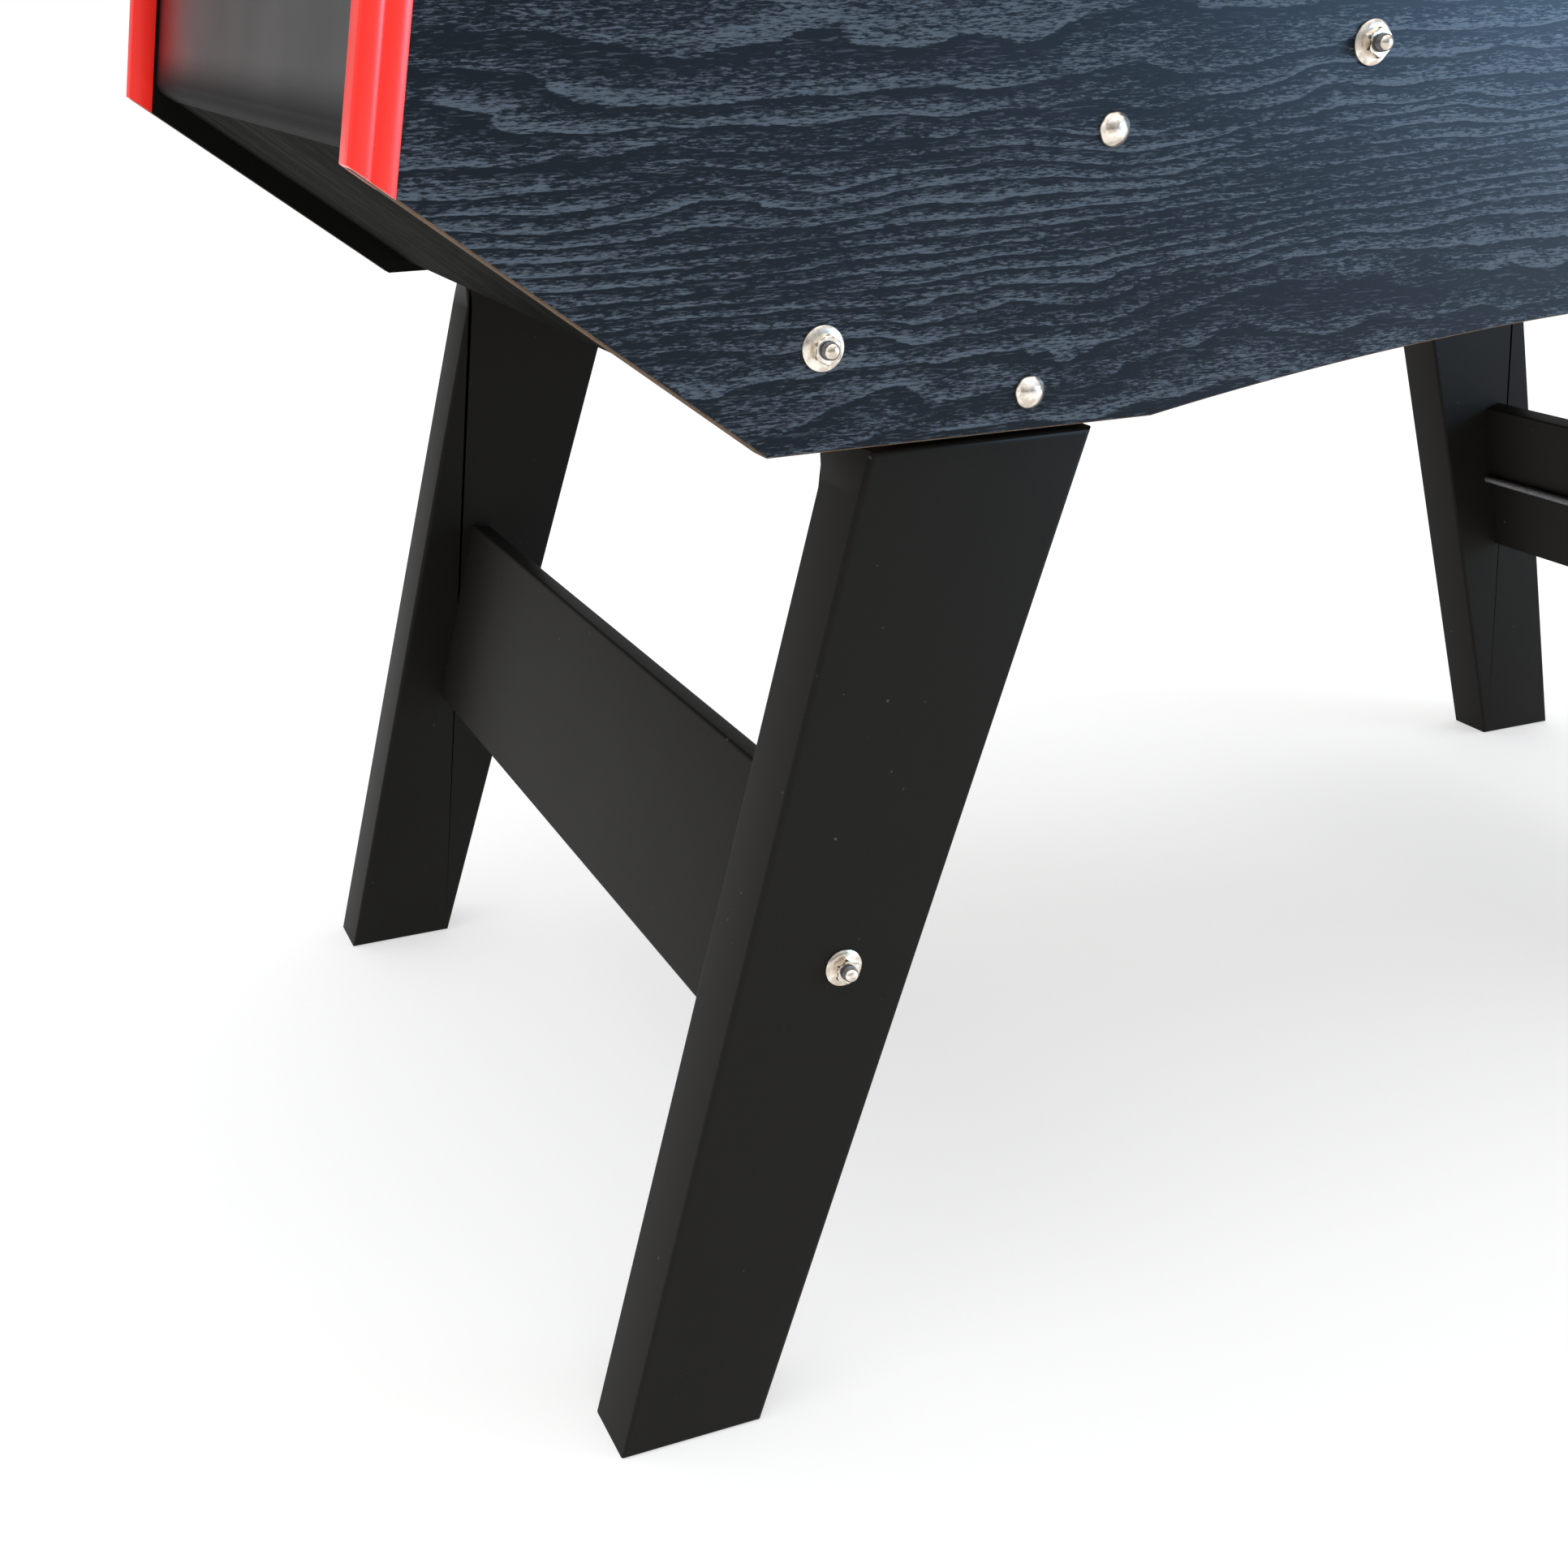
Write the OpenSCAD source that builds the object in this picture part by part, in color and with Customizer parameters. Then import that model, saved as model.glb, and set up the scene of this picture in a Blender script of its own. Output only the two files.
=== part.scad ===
// Foosball table: cabinet on four leaning legs, eight sliding and spinning rods with their players.
// Millimetres. Origin on the floor under the middle. X runs along the table, Z is up.
// The front, where the first team's handles are, faces -Y. Both ends mirror each other.

/* [Cabinet] */
// Width over the two side panels
table_width = 708; // [680:1:740]
// Half of the length, at the lower tips of the corner trims
end_reach = 715; // [705:1:735]
// Height of the top rails above the floor
table_height = 864; // [860:1:890]
// Height of the flat lower edge of the side panels
cabinet_z = 528; // [515:1:535]
// Half of the length of that lower edge
flat_half = 543; // [535:1:555]
// Slope of the lower edge from there up to the trims, in degrees
slant_deg = 36.9; // [34:0.1:39]
// Lean of the cabinet's ends, wider at the bottom, in degrees
end_lean = 10; // [8:0.5:11]
// Half of the span of the arch cut in the lower edge
arch_half = 348; // [320:1:350]
// Rise of the arch
arch_rise = 30; // [15:1:35]
// Thickness of the side panels
side_t = 15; // [12:0.5:18]
// Thickness of the end panels
end_t = 12; // [9:0.5:14]
// Depth of the end panels behind the trims' outer line
end_recess = 18; // [14:0.5:22]
// Radius of the end panels' lower outer edge
end_round = 10; // [4:0.5:11]
// Thickness of the slanted underside panels
under_t = 9; // [6:0.5:12]
// Depth of the underside panels behind the side panels' slanted edge
under_recess = 15; // [10:0.5:20]

/* [Trims and rails] */
// Wall of the corner trims
trim_wall = 2; // [1.5:0.1:3]
// Length of a trim's outer flange along the panel
trim_outer = 20; // [16:0.5:24]
// Length of a trim's inner flange along the panel
trim_inner = 16; // [12:0.5:16]
// Height of the top rails
rail_h = 18; // [14:0.5:22]
// Overhang of the side rails past the panels, outward
rail_out = 3; // [1:0.5:5]
// Overhang of the side rails past the panels, inward
rail_in = 6; // [2:0.5:10]
// Radius of the rails' outer upper edge
rail_round = 7; // [3:0.5:10]

/* [Playfield and goals] */
// Height of the playing surface
play_z = 740; // [736:1:742]
// Gap between a goal wall and the top of the end panel behind it
goal_gap = 19.5; // [16:0.5:28]
// Thickness of the playfield board
play_t = 9; // [6:0.5:12]
// Width of the cleats under the playfield
cleat_w = 20; // [15:1:30]
// Height of the cleats
cleat_h = 20; // [15:1:22]
// Half of the cleats' length
cleat_half = 600; // [550:1:615]
// Thickness of the goal walls
goal_t = 12; // [9:0.5:15]
// Width of a goal mouth
goal_w = 200; // [180:1:220]
// Height of a goal mouth
goal_h = 64; // [55:1:66]
// Wall of the moulded goal boxes
box_t = 3; // [2:0.5:4]
// Drop from the playfield to a goal box's floor
box_drop = 13; // [8:0.5:14]
// Height of the lip that keeps the ball in a goal box
lip_h = 12; // [8:0.5:16]
// Width of a goal box's bezel on the end panel
bezel_w = 6; // [4:0.5:8]
// Thickness of that bezel
bezel_t = 2; // [1:0.5:3]
// Side of a corner ramp on the playfield
ramp_side = 80; // [50:1:90]
// Height of a corner ramp in its corner
ramp_h = 12; // [6:0.5:16]

/* [Rods] */
// Diameter of the rods
rod_d = 15.9; // [12.7:0.1:16.5]
// Height of the rods above the playing surface
rod_above = 70; // [68:0.5:72]
// Radial running gap between a rod and what it slides and turns in
rod_gap = 0.05; // [0.03:0.01:0.08]
// Radial gap in fixed fits, such as a bushing in its hole
seat_gap = 0.1; // [0.05:0.05:0.3]
// Diameter of a bushing's sleeve
sleeve_d = 25; // [22:0.5:28]
// Diameter of a bushing's flange
flange_d = 38; // [34:0.5:42]
// Thickness of a bushing's flange
flange_t = 4; // [3:0.5:6]
// Diameter of a bushing's inner ring nut
ring_d = 35; // [32:0.5:40]
// Thickness of that ring nut
ring_t = 6; // [4:0.5:8]
// Length of a rubber bumper
bumper_l = 20; // [15:0.5:22]
// Diameter of a rubber bumper
bumper_d = 29; // [24:0.5:32]
// Gap left between bumper and ring nut at the end of a stroke
stop_gap = 0.6; // [0.4:0.1:2]
// Gap left between grip and panel, and rod end and bushing, at the end of a stroke
stroke_spare = 10; // [8:0.5:20]
// Length of a grip
grip_l = 110; // [95:1:120]
// Diameter of a grip
grip_d = 33; // [28:0.5:36]
// Diameter of a grip's waist
grip_waist_d = 27.7; // [24:0.1:30]
// Length from a grip's mouth to its front swell
grip_swell = 13; // [8:1:20]
// Length from its mouth to its waist
grip_waist = 44; // [30:1:55]
// Length from its mouth to the start of its thick end
grip_palm = 82; // [65:1:88]
// Length of the taper at its closed end
grip_taper = 7; // [3:0.5:10]
// Solid end of a grip beyond the rod
grip_cap = 8; // [5:0.5:12]

/* [Players] */
// Spacing of the five players of a midfield rod
space_five = 118; // [112:1:120]
// Spacing of the three players of an attack rod
space_three = 190; // [180:1:195]
// Spacing of the two players of a defence rod
space_two = 270; // [250:1:280]
// Stroke of the goalkeeper's rod to each side
keeper_travel = 110; // [80:1:120]
// Width of a player along the rod
man_w = 26; // [22:0.5:28]
// Reach of a player's foot below the rod's axis
foot_reach = 64; // [62:0.5:66]
// Thickness of the foot in the kicking direction
foot_x = 18; // [14:0.5:20]
// Height of the foot block
foot_z = 15; // [12:0.5:18]
// Thickness of the legs just above the foot
shin_x = 11; // [8:0.5:13]
// Diameter of the boss on the rod
boss_d = 26; // [22:0.5:28]
// Thickness of the chest
chest_x = 17; // [14:0.5:20]
// Thickness of the hips, where the legs leave the boss
hip_x = 13; // [10:0.5:16]
// Thickness of the thighs at the rod's axis
thigh_x = 18.7; // [14:0.1:22]
// Height of the shoulders above the rod's axis
shoulder_z = 24; // [20:0.5:26]
// Radius of the head
head_r = 9; // [7:0.5:10]

/* [Legs] */
// Thickness of a leg
leg_t = 44; // [38:1:50]
// Setback of a leg's outer face behind the side panel's
leg_setback = 7.5; // [4:0.5:10]
// Outer edge of a leg at the floor, from the middle of the table
leg_foot_out = 626; // [615:1:635]
// Inner edge of a leg at the floor
leg_foot_in = 546; // [535:1:555]
// Outer edge of a leg at its shoulder
leg_top_out = 489; // [480:1:500]
// Inner edge of a leg at its shoulder
leg_top_in = 374; // [365:1:385]
// Gap between a leg's shoulder and the side panel's lower edge
shoulder_gap = 4; // [2:0.5:8]
// Width of a leg's tenon behind the side panel
tenon_w = 92; // [80:1:94]
// Height of a leg's tenon above the shoulder
tenon_h = 168; // [140:1:172]
// Thickness of a stretcher board
stretcher_t = 16; // [12:0.5:17]
// Width of a stretcher board
stretcher_w = 140; // [120:1:150]
// Height of the middle of a stretcher
stretcher_z = 273; // [240:1:300]
// Distance from a leg's outer edge to the stretcher's outer face
stretcher_in = 35; // [28:1:40]
// Depth of the housing in a leg that holds a stretcher's end
housing = 6; // [4:0.5:10]

/* [Fasteners] */
// Diameter of the tie rods
tie_d = 8; // [6:0.5:8]
// Stand-out of a tie rod's tip past its face
tie_out = 12; // [9:0.5:14]
// Diameter of a flange nut
nut_flange_d = 20; // [17:0.5:22]
// Thickness of a flange nut's flange
nut_flange_t = 2.2; // [1.5:0.1:3]
// Width of a flange nut's hexagon, corner to corner
nut_hex_d = 13.5; // [11:0.5:15]
// Height of a flange nut's hexagon
nut_hex_h = 4.6; // [2:0.1:5]
// Lower tie rods through the cabinet, from the middle of the table
tie_low_x = 517; // [510:1:522]
// Height of the lower tie rods
tie_low_z = 573; // [565:1:580]
// Upper tie rods through the cabinet, from the middle of the table
tie_up_x = 245; // [200:1:300]
// Height of the upper tie rods
tie_up_z = 686; // [670:1:690]
// Leg tie rods, from the middle of the table
tie_leg_x = 500; // [498:0.5:503]
// Height of the leg tie rods
tie_leg_z = 268; // [262:1:274]
// Diameter of the carriage bolts
bolt_d = 6; // [5:0.5:7]
// Diameter of a carriage bolt's domed head
bolt_head_d = 15.6; // [13:0.1:17]
// Height of that head
bolt_head_h = 5; // [3:0.5:6]
// Lower carriage bolt, from the middle of the table
bolt_low_x = 414; // [410:1:418]
// Height of the lower carriage bolt
bolt_low_z = 545; // [542:1:550]
// Upper carriage bolt, from the middle of the table
bolt_up_x = 378; // [374:1:382]
// Height of the upper carriage bolt
bolt_up_z = 655; // [645:1:665]
// Thickness of a carriage bolt's nut
bolt_nut_t = 5; // [4:0.5:7]
// Width across a carriage bolt's nut, corner to corner
bolt_nut_d = 11.5; // [10:0.5:13]

/* [Serving cups] */
// Diameter of the hole that the ball rolls in through
serve_d = 40; // [38:0.5:42]
// Height of its centre above the playing surface
serve_above = 45; // [38:1:48]
// Radius of the bowl outside the panel
cup_r = 34; // [30:0.5:38]
// Wall of the cup
cup_t = 3; // [2:0.5:4]

/* [Hidden] */
$fn = 48;

side_y = table_width / 2;
inner_y = side_y - side_t;
rail_z = table_height - rail_h;
tip_z = cabinet_z + (end_reach - flat_half) * tan(slant_deg);
rod_z = play_z + rod_above;
rod_r = rod_d / 2;
bore_r = rod_r + rod_gap;
eps = 0.01;
past = 1;

// outline of the cabinet's end and of its slanted edge, at the positive end
function end_x(z) = end_reach - (z - tip_z) * tan(end_lean);
function slant_z(x) = cabinet_z + (x - flat_half) * tan(slant_deg);
// a vertical recess behind the slanted edge, measured along its normal
function under_z(x, depth) = slant_z(x) + depth / cos(slant_deg);
// x where the line under_z(x, depth) meets the end line moved inward by inset
function meet_x(depth, inset) = (end_reach - inset
    + (tip_z - cabinet_z - depth / cos(slant_deg) + flat_half * tan(slant_deg)) * tan(end_lean))
    / (1 + tan(slant_deg) * tan(end_lean));

// the playing length reaches the goal walls, and the rods share it evenly
play_half = end_x(rail_z) - end_recess - end_t / cos(end_lean) - goal_gap - goal_t;
rod_count = 8;
rod_pitch = 2 * play_half / rod_count;

// leg outline: edges as functions of height
function leg_out(z) = leg_foot_out + (leg_top_out - leg_foot_out) * z / shoulder_z_leg;
function leg_in(z) = leg_foot_in + (leg_top_in - leg_foot_in) * z / shoulder_z_leg;
shoulder_z_leg = cabinet_z - shoulder_gap;
leg_lean = atan((leg_foot_out - leg_top_out) / shoulder_z_leg);
tenon_z = shoulder_z_leg + tenon_h;
leg_face_y = side_y - leg_setback;
leg_back_y = leg_face_y - leg_t;

// rods: players on each, and which side the handle is on (-1 is the front)
MEN = [1, 2, 3, 5, 5, 3, 2, 1];
SIDE = [-1, -1, 1, -1, 1, -1, 1, 1];
ring_y = inner_y - ring_t;
function rod_x(i) = (i - (rod_count + 1) / 2) * rod_pitch;
function spacing(n) = n == 5 ? space_five : n == 3 ? space_three : n == 2 ? space_two : 0;
function men_half(n) = (n - 1) / 2 * spacing(n) + man_w / 2;
// inner end of the bumpers at rest: against the outer player, or clamped for the goalkeeper
function bumper_y(n) = n == 1 ? ring_y - stop_gap - bumper_l - keeper_travel : men_half(n) + eps;
function travel(n) = ring_y - stop_gap - bumper_l - bumper_y(n);
longest = travel(2);
rod_far = side_y + flange_t + longest + stroke_spare;
grip_y = side_y + flange_t + longest + stroke_spare;
rod_near = grip_y + grip_l - grip_cap;
box_z = play_z - box_drop - box_t;
box_top = play_z + goal_h + box_t;
box_half = goal_w / 2 + box_t;

// a board with an outline in X and Z, from y0 to y1
module board(outline, y0, y1) {
    translate([0, y1, 0]) rotate([90, 0, 0]) linear_extrude(y1 - y0) polygon(outline);
}

// a round bar along Y
module bar(r, y0, y1) {
    translate([0, y1, 0]) rotate([90, 0, 0]) cylinder(r = r, h = y1 - y0);
}

module both_ends() {
    children();
    mirror([1, 0, 0]) children();
}

module both_sides() {
    children();
    mirror([0, 1, 0]) children();
}

// ---- cabinet ----

function panel_x(z) = end_x(z) - trim_wall / cos(end_lean);

module side_outline() {
    low_x = meet_x(0, trim_wall / cos(end_lean));
    top_x = panel_x(rail_z);
    polygon([[flat_half, cabinet_z], [low_x, slant_z(low_x)], [top_x, rail_z],
        [-top_x, rail_z], [-low_x, slant_z(low_x)], [-flat_half, cabinet_z]]);
}

module side_panel() {
    arch_r = (arch_half * arch_half + arch_rise * arch_rise) / (2 * arch_rise);
    hole_r = sleeve_d / 2 + seat_gap;
    color([0.10, 0.12, 0.16]) difference() {
        translate([0, -inner_y, 0]) rotate([90, 0, 0]) linear_extrude(side_t) side_outline();
        translate([0, 0, cabinet_z + arch_rise - arch_r])
            bar_big(arch_r, -side_y - past, -inner_y + past);
        for (i = [1:rod_count]) {
            translate([rod_x(i), 0, rod_z]) bar(hole_r, -side_y - past, -inner_y + past);
        }
        translate([0, 0, play_z + serve_above])
            bar(serve_d / 2 + cup_t + seat_gap, -side_y - past, -inner_y + past);
        both_ends() {
            panel_holes();
        }
    }
}

module bar_big(r, y0, y1) {
    translate([0, y1, 0]) rotate([90, 0, 0]) cylinder(r = r, h = y1 - y0, $fn = 360);
}

module panel_holes() {
    for (p = [[tie_low_x, tie_low_z], [tie_up_x, tie_up_z]]) {
        translate([p[0], 0, p[1]]) bar(tie_d / 2 + seat_gap, -side_y - past, -inner_y + past);
    }
    for (p = [[bolt_low_x, bolt_low_z], [bolt_up_x, bolt_up_z]]) {
        translate([p[0], 0, p[1]]) bar(bolt_d / 2 + seat_gap, -side_y - past, -inner_y + past);
    }
}

module side_panel_front() {
    side_panel();
}

module side_panel_back() {
    rotate([0, 0, 180]) side_panel();
}

// the end panel's outer face lies end_recess behind the trims, its foot along the underside
module end_panel() {
    x0 = meet_x(under_recess, end_recess);
    x1 = meet_x(under_recess, end_recess + end_t / cos(end_lean));
    z0 = under_z(x0, under_recess);
    top_x = end_x(rail_z) - end_recess;
    // direction from the corner to the round's centre halves the angle between the two faces
    corner = 90 + slant_deg - end_lean;
    inward = 90 + end_lean + corner / 2;
    reach = end_round / sin(corner / 2);
    cx = x0 + reach * cos(inward);
    cz = z0 + reach * sin(inward);
    cut = end_round / tan(corner / 2);
    color([0.05, 0.05, 0.055]) difference() {
        board([[x0, z0], [top_x, rail_z], [top_x - end_t / cos(end_lean), rail_z],
            [x1, under_z(x1, under_recess)]], -inner_y, inner_y);
        difference() {
            board([[x0 + past, z0 - past], [x0 + past, z0 + cut * cos(end_lean)],
                [x0 - cut * sin(end_lean), z0 + cut * cos(end_lean)], [cx, cz],
                [x0 - cut * cos(slant_deg), z0 - cut * sin(slant_deg)],
                [x0 - cut * cos(slant_deg), z0 - cut * sin(slant_deg) - past]],
                -inner_y - past, inner_y + past);
            translate([cx, 0, cz]) bar(end_round, -side_y, side_y);
        }
        translate([play_half, -box_half, box_z])
            cube([end_reach - play_half, 2 * box_half, box_top - box_z]);
    }
}

module end_panel_right() {
    end_panel();
}

module end_panel_left() {
    mirror([1, 0, 0]) end_panel();
}

// the underside panel butts against the end panel's inner face
module underside() {
    inner = end_recess + end_t / cos(end_lean);
    x_out = meet_x(under_recess, inner);
    x_out_in = meet_x(under_recess + under_t, inner);
    x_in = flat_half - under_recess;
    color([0.24, 0.19, 0.16])
        board([[x_in, under_z(x_in, under_recess)], [x_out, under_z(x_out, under_recess)],
            [x_out_in, under_z(x_out_in, under_recess + under_t)],
            [x_in, under_z(x_in, under_recess + under_t)]], -inner_y, inner_y);
}

module underside_right() {
    underside();
}

module underside_left() {
    mirror([1, 0, 0]) underside();
}

module top_rails() {
    long_x = end_x(rail_z) + rail_out;
    y_out = side_y + rail_out;
    y_in = inner_y - rail_in;
    color([0.04, 0.04, 0.045]) {
        both_sides() rounded_rail(long_x, y_in, y_out);
        both_ends() end_rail(long_x, y_in - seat_gap);
    }
}

module rounded_rail(long_x, y_in, y_out) {
    difference() {
        translate([-long_x, y_in, rail_z]) cube([2 * long_x, y_out - y_in, rail_h]);
        translate([-long_x - past, y_out - rail_round, table_height - rail_round])
            cube([2 * long_x + 2 * past, rail_round + past, rail_round + past]);
    }
    intersection() {
        translate([-long_x, y_out - rail_round, table_height - rail_round])
            rotate([0, 90, 0]) cylinder(r = rail_round, h = 2 * long_x);
        translate([-long_x, y_out - rail_round, table_height - rail_round])
            cube([2 * long_x, rail_round, rail_round]);
    }
}

module end_rail(long_x, y_in) {
    difference() {
        translate([play_half, -y_in, rail_z]) cube([long_x - play_half, 2 * y_in, rail_h]);
        translate([long_x - rail_round, -y_in - past, table_height - rail_round])
            cube([rail_round + past, 2 * y_in + 2 * past, rail_round + past]);
    }
    intersection() {
        translate([long_x - rail_round, 0, table_height - rail_round])
            bar(rail_round, -y_in, y_in);
        translate([long_x - rail_round, -y_in, table_height - rail_round])
            cube([rail_round, 2 * y_in, rail_round]);
    }
}

// a channel over each side panel's end, cut off along the slanted edge
module corner_trim() {
    web = trim_wall / cos(end_lean);
    x0 = meet_x(0, 0);
    xw = meet_x(0, web);
    xo = meet_x(0, trim_outer);
    xi = meet_x(0, trim_inner);
    t0 = end_x(rail_z);
    board([[x0, slant_z(x0)], [t0, rail_z], [t0 - web, rail_z], [xw, slant_z(xw)]],
        -side_y - trim_wall, -inner_y + trim_wall);
    board([[x0, slant_z(x0)], [t0, rail_z], [t0 - trim_outer, rail_z], [xo, slant_z(xo)]],
        -side_y - trim_wall, -side_y);
    board([[x0, slant_z(x0)], [t0, rail_z], [t0 - trim_inner, rail_z], [xi, slant_z(xi)]],
        -inner_y, -inner_y + trim_wall);
}

module corner_trims() {
    color([0.85, 0.07, 0.05]) both_sides() both_ends() corner_trim();
}

// ---- playfield and goals ----

module playfield() {
    reach = play_half + goal_t;
    color([0.10, 0.42, 0.18])
        translate([-reach, -inner_y, play_z - play_t]) cube([2 * reach, 2 * inner_y, play_t]);
}

module playfield_cleats() {
    color([0.72, 0.58, 0.40]) both_sides()
        translate([-cleat_half, inner_y - cleat_w, play_z - play_t - cleat_h])
            cube([2 * cleat_half, cleat_w, cleat_h]);
}

module goal_wall() {
    color([0.07, 0.07, 0.08]) difference() {
        translate([play_half, -inner_y, play_z]) cube([goal_t, 2 * inner_y, rail_z - play_z]);
        translate([play_half - past, -goal_w / 2, play_z - past])
            cube([goal_t + 2 * past, goal_w, goal_h + past]);
    }
}

module goal_wall_right() {
    goal_wall();
}

module goal_wall_left() {
    mirror([1, 0, 0]) goal_wall();
}

// an open tube from the goal wall to the end panel's face, with a lip and a bezel
module goal_box() {
    back = play_half + goal_t;
    face = end_recess;
    lip_z = box_z + box_t;
    color([0.09, 0.09, 0.10]) {
        difference() {
            board(tube_outline(back, face, box_z, box_top), -box_half + seat_gap, box_half - seat_gap);
            board(tube_outline(back - past, face - past, lip_z, box_top - box_t),
                -goal_w / 2, goal_w / 2);
        }
        board(tube_outline(end_x(lip_z) - face - box_t, face, lip_z - eps, lip_z + lip_h),
            -goal_w / 2 - eps, goal_w / 2 + eps);
        difference() {
            bezel(box_z - bezel_w, box_top + bezel_w, box_half + bezel_w);
            bezel_hole();
        }
    }
}

// outline from x = back to the leaning end line, inset by face
function tube_outline(back, face, z0, z1) =
    [[back, z0], [end_x(z0) - face, z0], [end_x(z1) - face, z1], [back, z1]];

module bezel(z0, z1, y1) {
    board([[end_x(z0) - end_recess, z0], [end_x(z0) - end_recess + bezel_t, z0],
        [end_x(z1) - end_recess + bezel_t, z1], [end_x(z1) - end_recess, z1]], -y1, y1);
}

module bezel_hole() {
    translate([play_half, -box_half + seat_gap + eps, box_z + eps])
        cube([end_reach - play_half, 2 * (box_half - seat_gap - eps), box_top - box_z - 2 * eps]);
}

module goal_box_right() {
    goal_box();
}

module goal_box_left() {
    mirror([1, 0, 0]) goal_box();
}

// a low wedge in each corner: a block cut by one leaning plane
module corner_ramp() {
    slope = atan(ramp_h / (ramp_side / sqrt(2)));
    difference() {
        translate([play_half - ramp_side, inner_y - ramp_side, play_z])
            cube([ramp_side, ramp_side, ramp_h]);
        translate([play_half - ramp_side / 2, inner_y - ramp_side / 2, play_z])
            rotate([0, 0, 45]) rotate([0, -slope, 0])
                translate([-2 * ramp_side, -2 * ramp_side, 0])
                    cube([4 * ramp_side, 4 * ramp_side, 4 * ramp_h]);
    }
}

module corner_ramps() {
    color([0.10, 0.42, 0.18]) both_sides() both_ends() corner_ramp();
}

// ---- legs ----

// the stretcher's cross-section, leaning with the leg's outer edge
module stretcher_bar(y0, y1, gap) {
    x0 = leg_out(stretcher_z) - stretcher_in;
    translate([x0, 0, stretcher_z]) rotate([0, -leg_lean, 0])
        translate([-stretcher_t - gap, y0, -stretcher_w / 2 - gap])
            cube([stretcher_t + 2 * gap, y1 - y0, stretcher_w + 2 * gap]);
}

// front right leg
module leg() {
    color([0.06, 0.06, 0.06]) difference() {
        union() {
            board([[leg_foot_in, 0], [leg_foot_out, 0], [leg_top_out, shoulder_z_leg],
                [leg_top_in, shoulder_z_leg]], -leg_face_y, -leg_back_y);
            board([[leg_in(shoulder_z_leg - tenon_w), shoulder_z_leg - tenon_w],
                [leg_in(shoulder_z_leg - tenon_w) + tenon_w, shoulder_z_leg - tenon_w],
                [leg_in(tenon_z) + tenon_w, tenon_z], [leg_in(tenon_z), tenon_z]],
                -inner_y, -leg_back_y);
        }
        for (p = [[bolt_low_x, bolt_low_z], [bolt_up_x, bolt_up_z]]) {
            translate([p[0], 0, p[1]]) bar(bolt_d / 2 + seat_gap, -side_y, -leg_back_y + past);
        }
        translate([tie_leg_x, 0, tie_leg_z]) bar(tie_d / 2 + seat_gap, -side_y, -leg_back_y + past);
        stretcher_bar(-leg_back_y - housing, -leg_back_y + past, seat_gap);
    }
}

module leg_front_right() {
    leg();
}

module leg_front_left() {
    mirror([1, 0, 0]) leg();
}

module leg_back_right() {
    mirror([0, 1, 0]) leg();
}

module leg_back_left() {
    rotate([0, 0, 180]) leg();
}

module stretcher() {
    y1 = leg_back_y + housing;
    color([0.07, 0.07, 0.07]) stretcher_bar(-y1, y1, 0);
}

module stretcher_right() {
    stretcher();
}

module stretcher_left() {
    mirror([1, 0, 0]) stretcher();
}

// ---- fasteners ----

module tie_rod(y_face) {
    tip_r = tie_d / 2;
    bar(tip_r, -y_face - tie_out + tip_r, y_face + tie_out - tip_r);
    both_sides() translate([0, y_face + tie_out - tip_r, 0]) sphere(r = tip_r);
}

module tie_rods() {
    color([0.80, 0.80, 0.82]) both_ends() {
        translate([tie_low_x, 0, tie_low_z]) tie_rod(side_y);
        translate([tie_up_x, 0, tie_up_z]) tie_rod(side_y);
        translate([tie_leg_x, 0, tie_leg_z]) tie_rod(leg_face_y);
    }
}

module flange_nut(y_face) {
    difference() {
        union() {
            bar(nut_flange_d / 2, -y_face - nut_flange_t, -y_face);
            translate([0, -y_face, 0]) rotate([90, 0, 0])
                linear_extrude(nut_flange_t + nut_hex_h) circle(d = nut_hex_d, $fn = 6);
        }
        bar(tie_d / 2 + seat_gap, -y_face - tie_out, -y_face + past);
    }
}

module flange_nuts() {
    color([0.85, 0.85, 0.87]) both_sides() both_ends() {
        translate([tie_low_x, 0, tie_low_z]) flange_nut(side_y);
        translate([tie_up_x, 0, tie_up_z]) flange_nut(side_y);
        translate([tie_leg_x, 0, tie_leg_z]) flange_nut(leg_face_y);
    }
}

module carriage_bolt() {
    dome_r = (bolt_head_d * bolt_head_d / 4 + bolt_head_h * bolt_head_h) / (2 * bolt_head_h);
    bar(bolt_d / 2, -side_y, -leg_back_y + bolt_nut_t + bolt_d / 2);
    intersection() {
        translate([0, -side_y - bolt_head_h + dome_r, 0]) sphere(r = dome_r);
        bar(bolt_head_d / 2, -side_y - bolt_head_h, -side_y);
    }
}

module carriage_nut() {
    difference() {
        translate([0, -leg_back_y + bolt_nut_t, 0]) rotate([90, 0, 0])
            linear_extrude(bolt_nut_t) circle(d = bolt_nut_d, $fn = 6);
        bar(bolt_d / 2 + seat_gap, -leg_back_y - past, -leg_back_y + bolt_nut_t + past);
    }
}

module at_bolts() {
    both_sides() both_ends() {
        translate([bolt_low_x, 0, bolt_low_z]) children();
        translate([bolt_up_x, 0, bolt_up_z]) children();
    }
}

module carriage_bolts() {
    color([0.85, 0.85, 0.87]) at_bolts() carriage_bolt();
}

module carriage_nuts() {
    color([0.70, 0.70, 0.72]) at_bolts() carriage_nut();
}

// ---- bushings and serving cups ----

module bushing() {
    difference() {
        union() {
            bar(flange_d / 2, -side_y - flange_t, -side_y);
            bar(sleeve_d / 2, -side_y, -inner_y + ring_t);
        }
        bar(bore_r, -side_y - flange_t - past, -inner_y + ring_t + past);
    }
}

module ring_nut() {
    difference() {
        bar(ring_d / 2, -inner_y, -inner_y + ring_t);
        bar(sleeve_d / 2 + seat_gap, -inner_y - past, -inner_y + ring_t + past);
    }
}

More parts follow.
